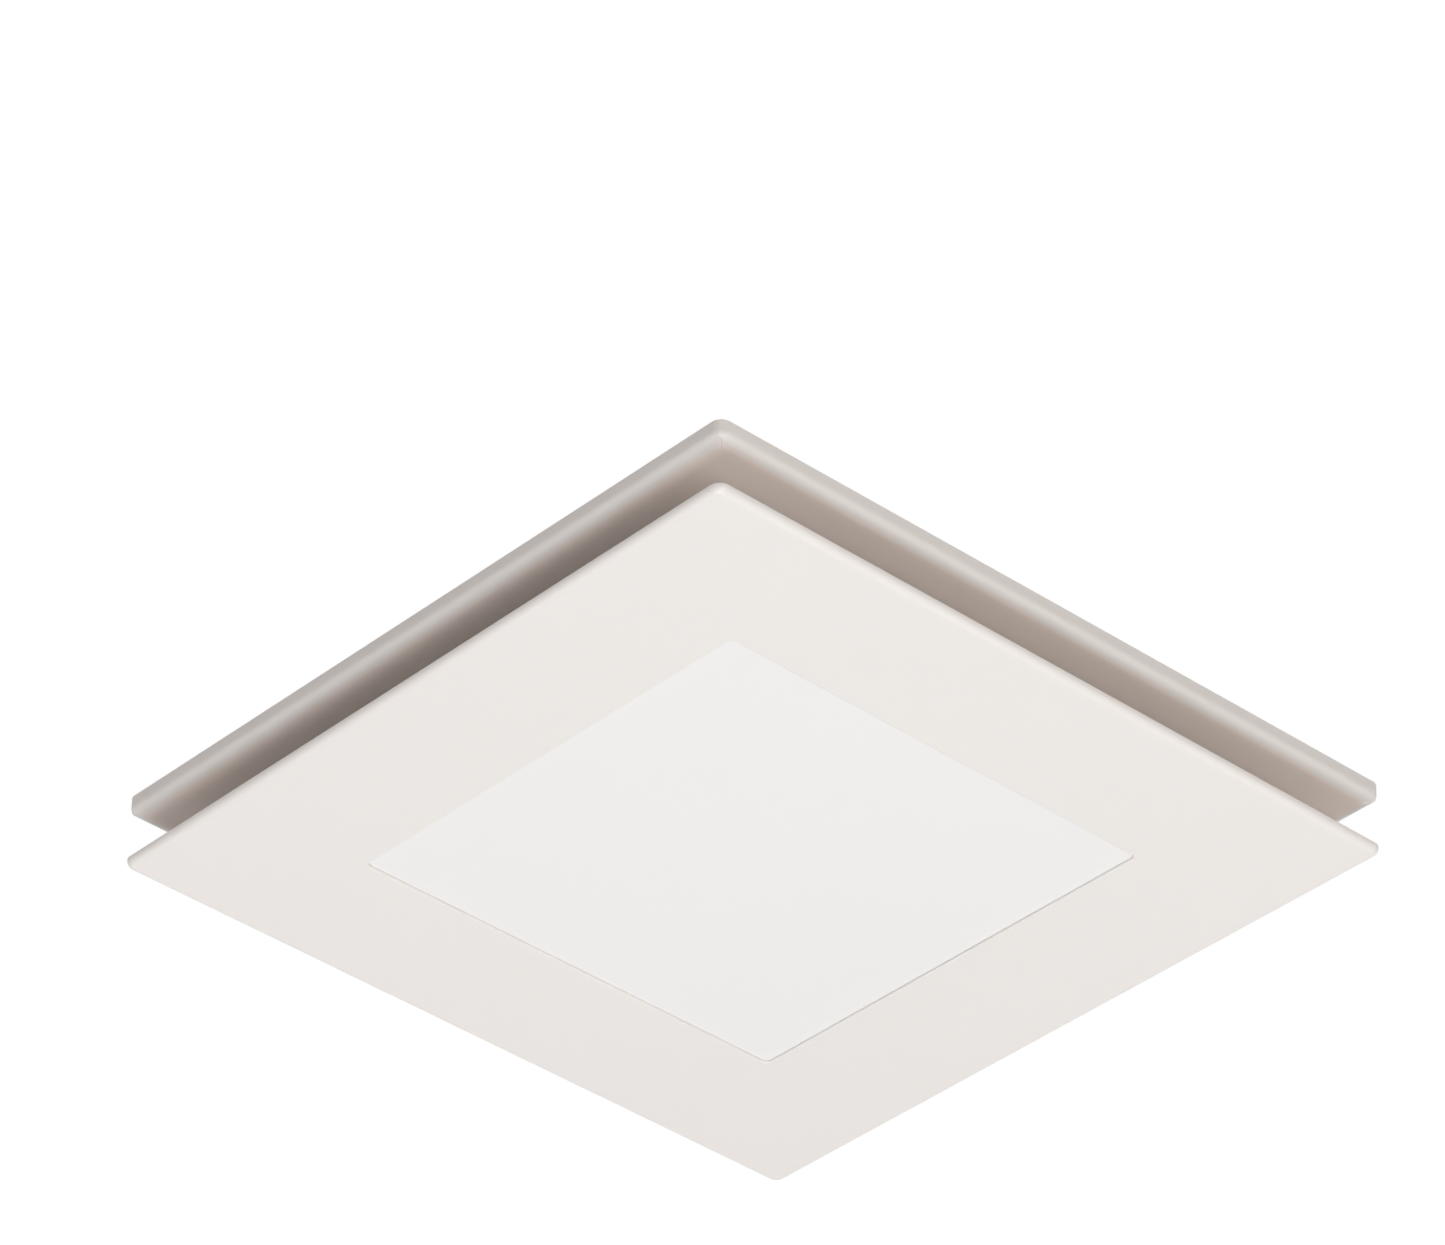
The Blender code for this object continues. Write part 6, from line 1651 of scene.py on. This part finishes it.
def add_leads():
    """Leads with a bushing where each enters a box."""
    for name, finish in (("motor_lead", "moulded_black"), ("driver_lead", "lead_grey"),
                         ("socket_lead", "lead_white")):
        dress(name, finish, 0.0)
    places = [lead_end("driver_lead", 0, -1) @ spun(90, "Y"), lead_end("driver_lead", 0, 1) @ spun(-90, "Y"),
              lead_end("motor_lead", 1, 1) @ spun(90, "X"), lead_end("socket_lead", 1, 1) @ spun(90, "X")]
    publish_copies("lead_bushings", lone(turned, sized(BUSHING_PROFILE), ROUND_STEPS), "housing",
                   "soft_rubber", places=places)


class FAN_OT_supply(FanPiece, bpy.types.Operator):
    """Add the terminal box, the light's driver, the capacitor and the inside leads"""
    bl_idname = "fan.supply"
    bl_label = "Supply side"

    def build(self, shapes):
        add_box(shapes.edge)
        add_capacitor()
        add_driver()
        add_screws()
        add_leads()


def box_ring(x, low_y, high_y, low_z, high_z):
    """Rectangle across the duct whose points pair up with those of a circle."""
    centre = Vector(((low_y + high_y) / 2, (low_z + high_z) / 2))
    half = Vector(((high_y - low_y) / 2, (high_z - low_z) / 2))
    points = []
    for index in range(DUCT_STEPS):
        turn = math.tau * index / DUCT_STEPS
        reach = max(abs(math.cos(turn)), abs(math.sin(turn)))
        points.append((x, centre.x + half.x * math.cos(turn) / reach,
                       centre.y + half.y * math.sin(turn) / reach))
    return points


def round_ring(x, radius):
    return [(x, OUTLET_Y + y, OUTLET_Z + z) for y, z in circle(radius, DUCT_STEPS)]


def blended_rings(square, ring):
    """Rings that pass smoothly from a rectangle to a circle."""
    rings = []
    for index in range(1, BLEND_STEPS):
        share = index / BLEND_STEPS
        swell = share * share * (3 - 2 * share)
        x = square[0][0] + (ring[0][0] - square[0][0]) * share
        rings.append([(x, a[1] + (b[1] - a[1]) * swell, a[2] + (b[2] - a[2]) * swell)
                      for a, b in zip(square, ring)])
    return rings


def adapter_data():
    """Outlet that blends from the scroll's square end to the round spigot, with beads and a damper stop."""
    wall = ADAPTER_WALL
    lip = COVER_OVERHANG
    flange_x = ADAPTER_START + ADAPTER_FLANGE
    outer = (OUTLET_LOW_Y, TONGUE_Y, DECK + SLIP, SCROLL_TOP)
    inner = (OUTLET_LOW_Y + wall, TONGUE_Y - wall, DECK + wall, SCROLL_TOP - wall)
    flange = (OUTLET_LOW_Y - lip, TONGUE_Y + lip, DECK, COVER_TOP)
    inner_radius = SPIGOT_RADIUS - wall
    square, ring = box_ring(BLEND_START, *outer), round_ring(SPIGOT_START, SPIGOT_RADIUS)
    rings = [box_ring(ADAPTER_START, *flange), box_ring(flange_x, *flange), box_ring(flange_x, *outer)]
    rings += [square, *blended_rings(square, ring), ring]
    for place in BEAD_PLACES:
        for index in range(LIP_STEPS + 1):
            angle = math.pi * index / LIP_STEPS
            rings.append(round_ring(place - BEAD_HALF_WIDTH * math.cos(angle),
                                    SPIGOT_RADIUS + BEAD_PROUD * math.sin(angle)))
    rings += [round_ring(ADAPTER_END - SPIGOT_LEAD_IN, SPIGOT_RADIUS),
              round_ring(ADAPTER_END, SPIGOT_RADIUS - SPIGOT_LEAD_IN / 2),
              round_ring(ADAPTER_END, inner_radius),
              round_ring(STOP_SPAN[1], inner_radius), round_ring(STOP_SPAN[1], STOP_RADIUS),
              round_ring(STOP_SPAN[0], STOP_RADIUS), round_ring(STOP_SPAN[0], inner_radius)]
    square, ring = box_ring(BLEND_START, *inner), round_ring(SPIGOT_START, inner_radius)
    rings += [ring, *reversed(blended_rings(square, ring)), square, box_ring(ADAPTER_START, *inner)]
    return lone(loft, rings, True)


def flap_ribs(side):
    """Stiffening ribs across the outer face of one damper flap."""
    low, high = NODE_LOW["damper_rod"], NODE_HIGH["damper_rod"]
    face = (low.x + high.x) / 2 + FLAP_THICKNESS / 2
    half = FLAP_RIB_WIDTH / 2
    data = bmesh.new()
    for level in FLAP_RIB_LEVELS:
        reach = math.sqrt(STOP_RADIUS ** 2 - level ** 2) - FLAP_RIB_START / 2
        ends = sorted((OUTLET_Y + side * FLAP_RIB_START, OUTLET_Y + side * reach))
        block(data, (face - SINK, ends[0], OUTLET_Z + level - half),
              (face + FLAP_RIB_PROUD, ends[1], OUTLET_Z + level + half), SINK)
    return data


def damper_coil():
    """Spring that shuts the flaps, wound up the rod."""
    low, high = NODE_LOW["damper_spring"], NODE_HIGH["damper_spring"]
    radius = (high.x - low.x) / 2 - DAMPER_WIRE
    place = Matrix.Translation(((low.x + high.x) / 2, OUTLET_Y, low.z + DAMPER_WIRE))
    return bmesh_of(coil_mesh(radius, DAMPER_WIRE, DAMPER_TURNS, high.z - low.z, place))


class FAN_OT_outlet(FanPiece, bpy.types.Operator):
    """Add the outlet with its backdraught damper"""
    bl_idname = "fan.outlet"
    bl_label = "Outlet"

    def build(self, shapes):
        publish_data("outlet_moulding", adapter_data(), "housing", "moulded_grey", "duct_adapter")
        head = rivet()
        bmesh.ops.transform(head, matrix=Matrix.Scale(FLANGE_RIVET_SHARE, 4), verts=head.verts)
        flange_x = ADAPTER_START + ADAPTER_FLANGE
        publish_copies("flange_rivets", head, "housing", "bright_steel",
                       places=[Matrix.Translation((flange_x, y * MM, z * MM)) @ spun(90, "Y")
                               for y, z in FLANGE_RIVETS])
        dress("damper_rod", "bright_steel", 0.0)
        publish_data("damper_coil", damper_coil(), "housing", "bright_steel", "damper_spring")
        for name, side in (("damper_flap_left", 1), ("damper_flap_right", -1)):
            dress(name, "moulded_white", shapes.sheet_edge)
            publish_data(name + "_ribs", flap_ribs(side), body_of(name), "moulded_white")


def arm_rib(place):
    """Rib down the back of a ceiling arm, drawn in (out, up) and placed on the arm, with the pivot's caps."""
    path = [Vector(point) * MM for point in ARM_RIB_PATH]
    half = ARM_RIB_WIDTH / 2
    rings = []
    for index, point in enumerate(path):
        before, after = path[max(index - 1, 0)], path[min(index + 1, len(path) - 1)]
        ahead = (after - before).normalized()
        up = Vector((-ahead.y, ahead.x))
        low, high = point - up * ARM_RIB_PROUD, point + up * ARM_RIB_PROUD
        rings.append([(low.x, -half, low.y), (low.x, half, low.y),
                      (high.x, half, high.y), (high.x, -half, high.y)])
    data = lone(loft, rings, matrix=place)
    for end, degrees in CAP_PLACES:
        cap = place @ Matrix.Translation((0, end, 0)) @ spun(degrees, "X")
        turned(data, sized(CAP_PROFILE), SMALL_STEPS, cap, closed=False)
    return data


class FAN_OT_arms(FanPiece, bpy.types.Operator):
    """Add the ceiling arms with their ribs and caps, and the springs that push them down"""
    bl_idname = "fan.arms"
    bl_label = "Ceiling arms"

    def build(self, shapes):
        springs = bmesh.new()
        names = []
        end = Matrix.Translation((0, SPRING_START + SPRING_LENGTH - SPRING_WIRE, 0)) @ spun(90, "X")
        coil = coil_mesh(SPRING_RADIUS, SPRING_WIRE, SPRING_TURNS, SPRING_LENGTH, end)
        for index, turn in enumerate(even_turns(), 1):
            place = turn @ Matrix.Translation(ARM_PLACE)
            name = "ceiling_arm_%d" % index
            dress(name, "nylon", shapes.edge)
            publish_data(name + "_rib", arm_rib(place), name, "nylon", edge=shapes.edge / 2)
            wound = coil.copy()
            wound.transform(place)
            springs.from_mesh(wound)
            names.append("arm_spring_%d" % index)
        publish_data("arm_coils", springs, "housing", "bright_steel", *names)


class FAN_OT_catches(FanPiece, bpy.types.Operator):
    """Add the catches of the fascia and the light's socket"""
    bl_idname = "fan.catches"
    bl_label = "Catches"

    def build(self, shapes):
        for index in range(1, 5):
            dress("catch_clip_%d" % index, "nylon", shapes.edge)
        dress("light_socket", "moulded_black", shapes.edge)


PIECE_OPERATORS = (FAN_OT_bezel, FAN_OT_fascia, FAN_OT_light, FAN_OT_inlet, FAN_OT_housing, FAN_OT_impeller,
                   FAN_OT_motor, FAN_OT_supply, FAN_OT_outlet, FAN_OT_arms, FAN_OT_catches)


class FAN_PT_looks(bpy.types.Panel):
    """Pieces of the fan and their sizes"""
    bl_idname = "FAN_PT_looks"
    bl_label = "Exhaust fan"
    bl_space_type = "VIEW_3D"
    bl_region_type = "UI"
    bl_category = "Fan"

    def draw(self, context):
        for operator in (FAN_OT_stage, *PIECE_OPERATORS):
            self.layout.operator(operator.bl_idname)
        for name in GROUPS:
            group = getattr(context.scene, name)
            box = self.layout.box()
            for key in group.__annotations__:
                box.prop(group, key)


GROUPS = {"fan_colours": FanColours, "fan_shapes": FanShapes, "fan_room": FanRoom}
CLASSES = (*GROUPS.values(), FAN_OT_stage, *PIECE_OPERATORS, FAN_PT_looks)


def register():
    for item in CLASSES:
        bpy.utils.register_class(item)
    for name, group in GROUPS.items():
        setattr(bpy.types.Scene, name, bpy.props.PointerProperty(type=group))


def unregister():
    for name in GROUPS:
        delattr(bpy.types.Scene, name)
    for item in reversed(CLASSES):
        bpy.utils.unregister_class(item)


def main():
    register()
    bpy.ops.fan.stage()
    bpy.ops.fan.bezel()
    bpy.ops.fan.fascia()
    bpy.ops.fan.light()
    bpy.ops.fan.inlet()
    bpy.ops.fan.housing()
    bpy.ops.fan.impeller()
    bpy.ops.fan.motor()
    bpy.ops.fan.supply()
    bpy.ops.fan.outlet()
    bpy.ops.fan.arms()
    bpy.ops.fan.catches()


if __name__ == "__main__":
    main()
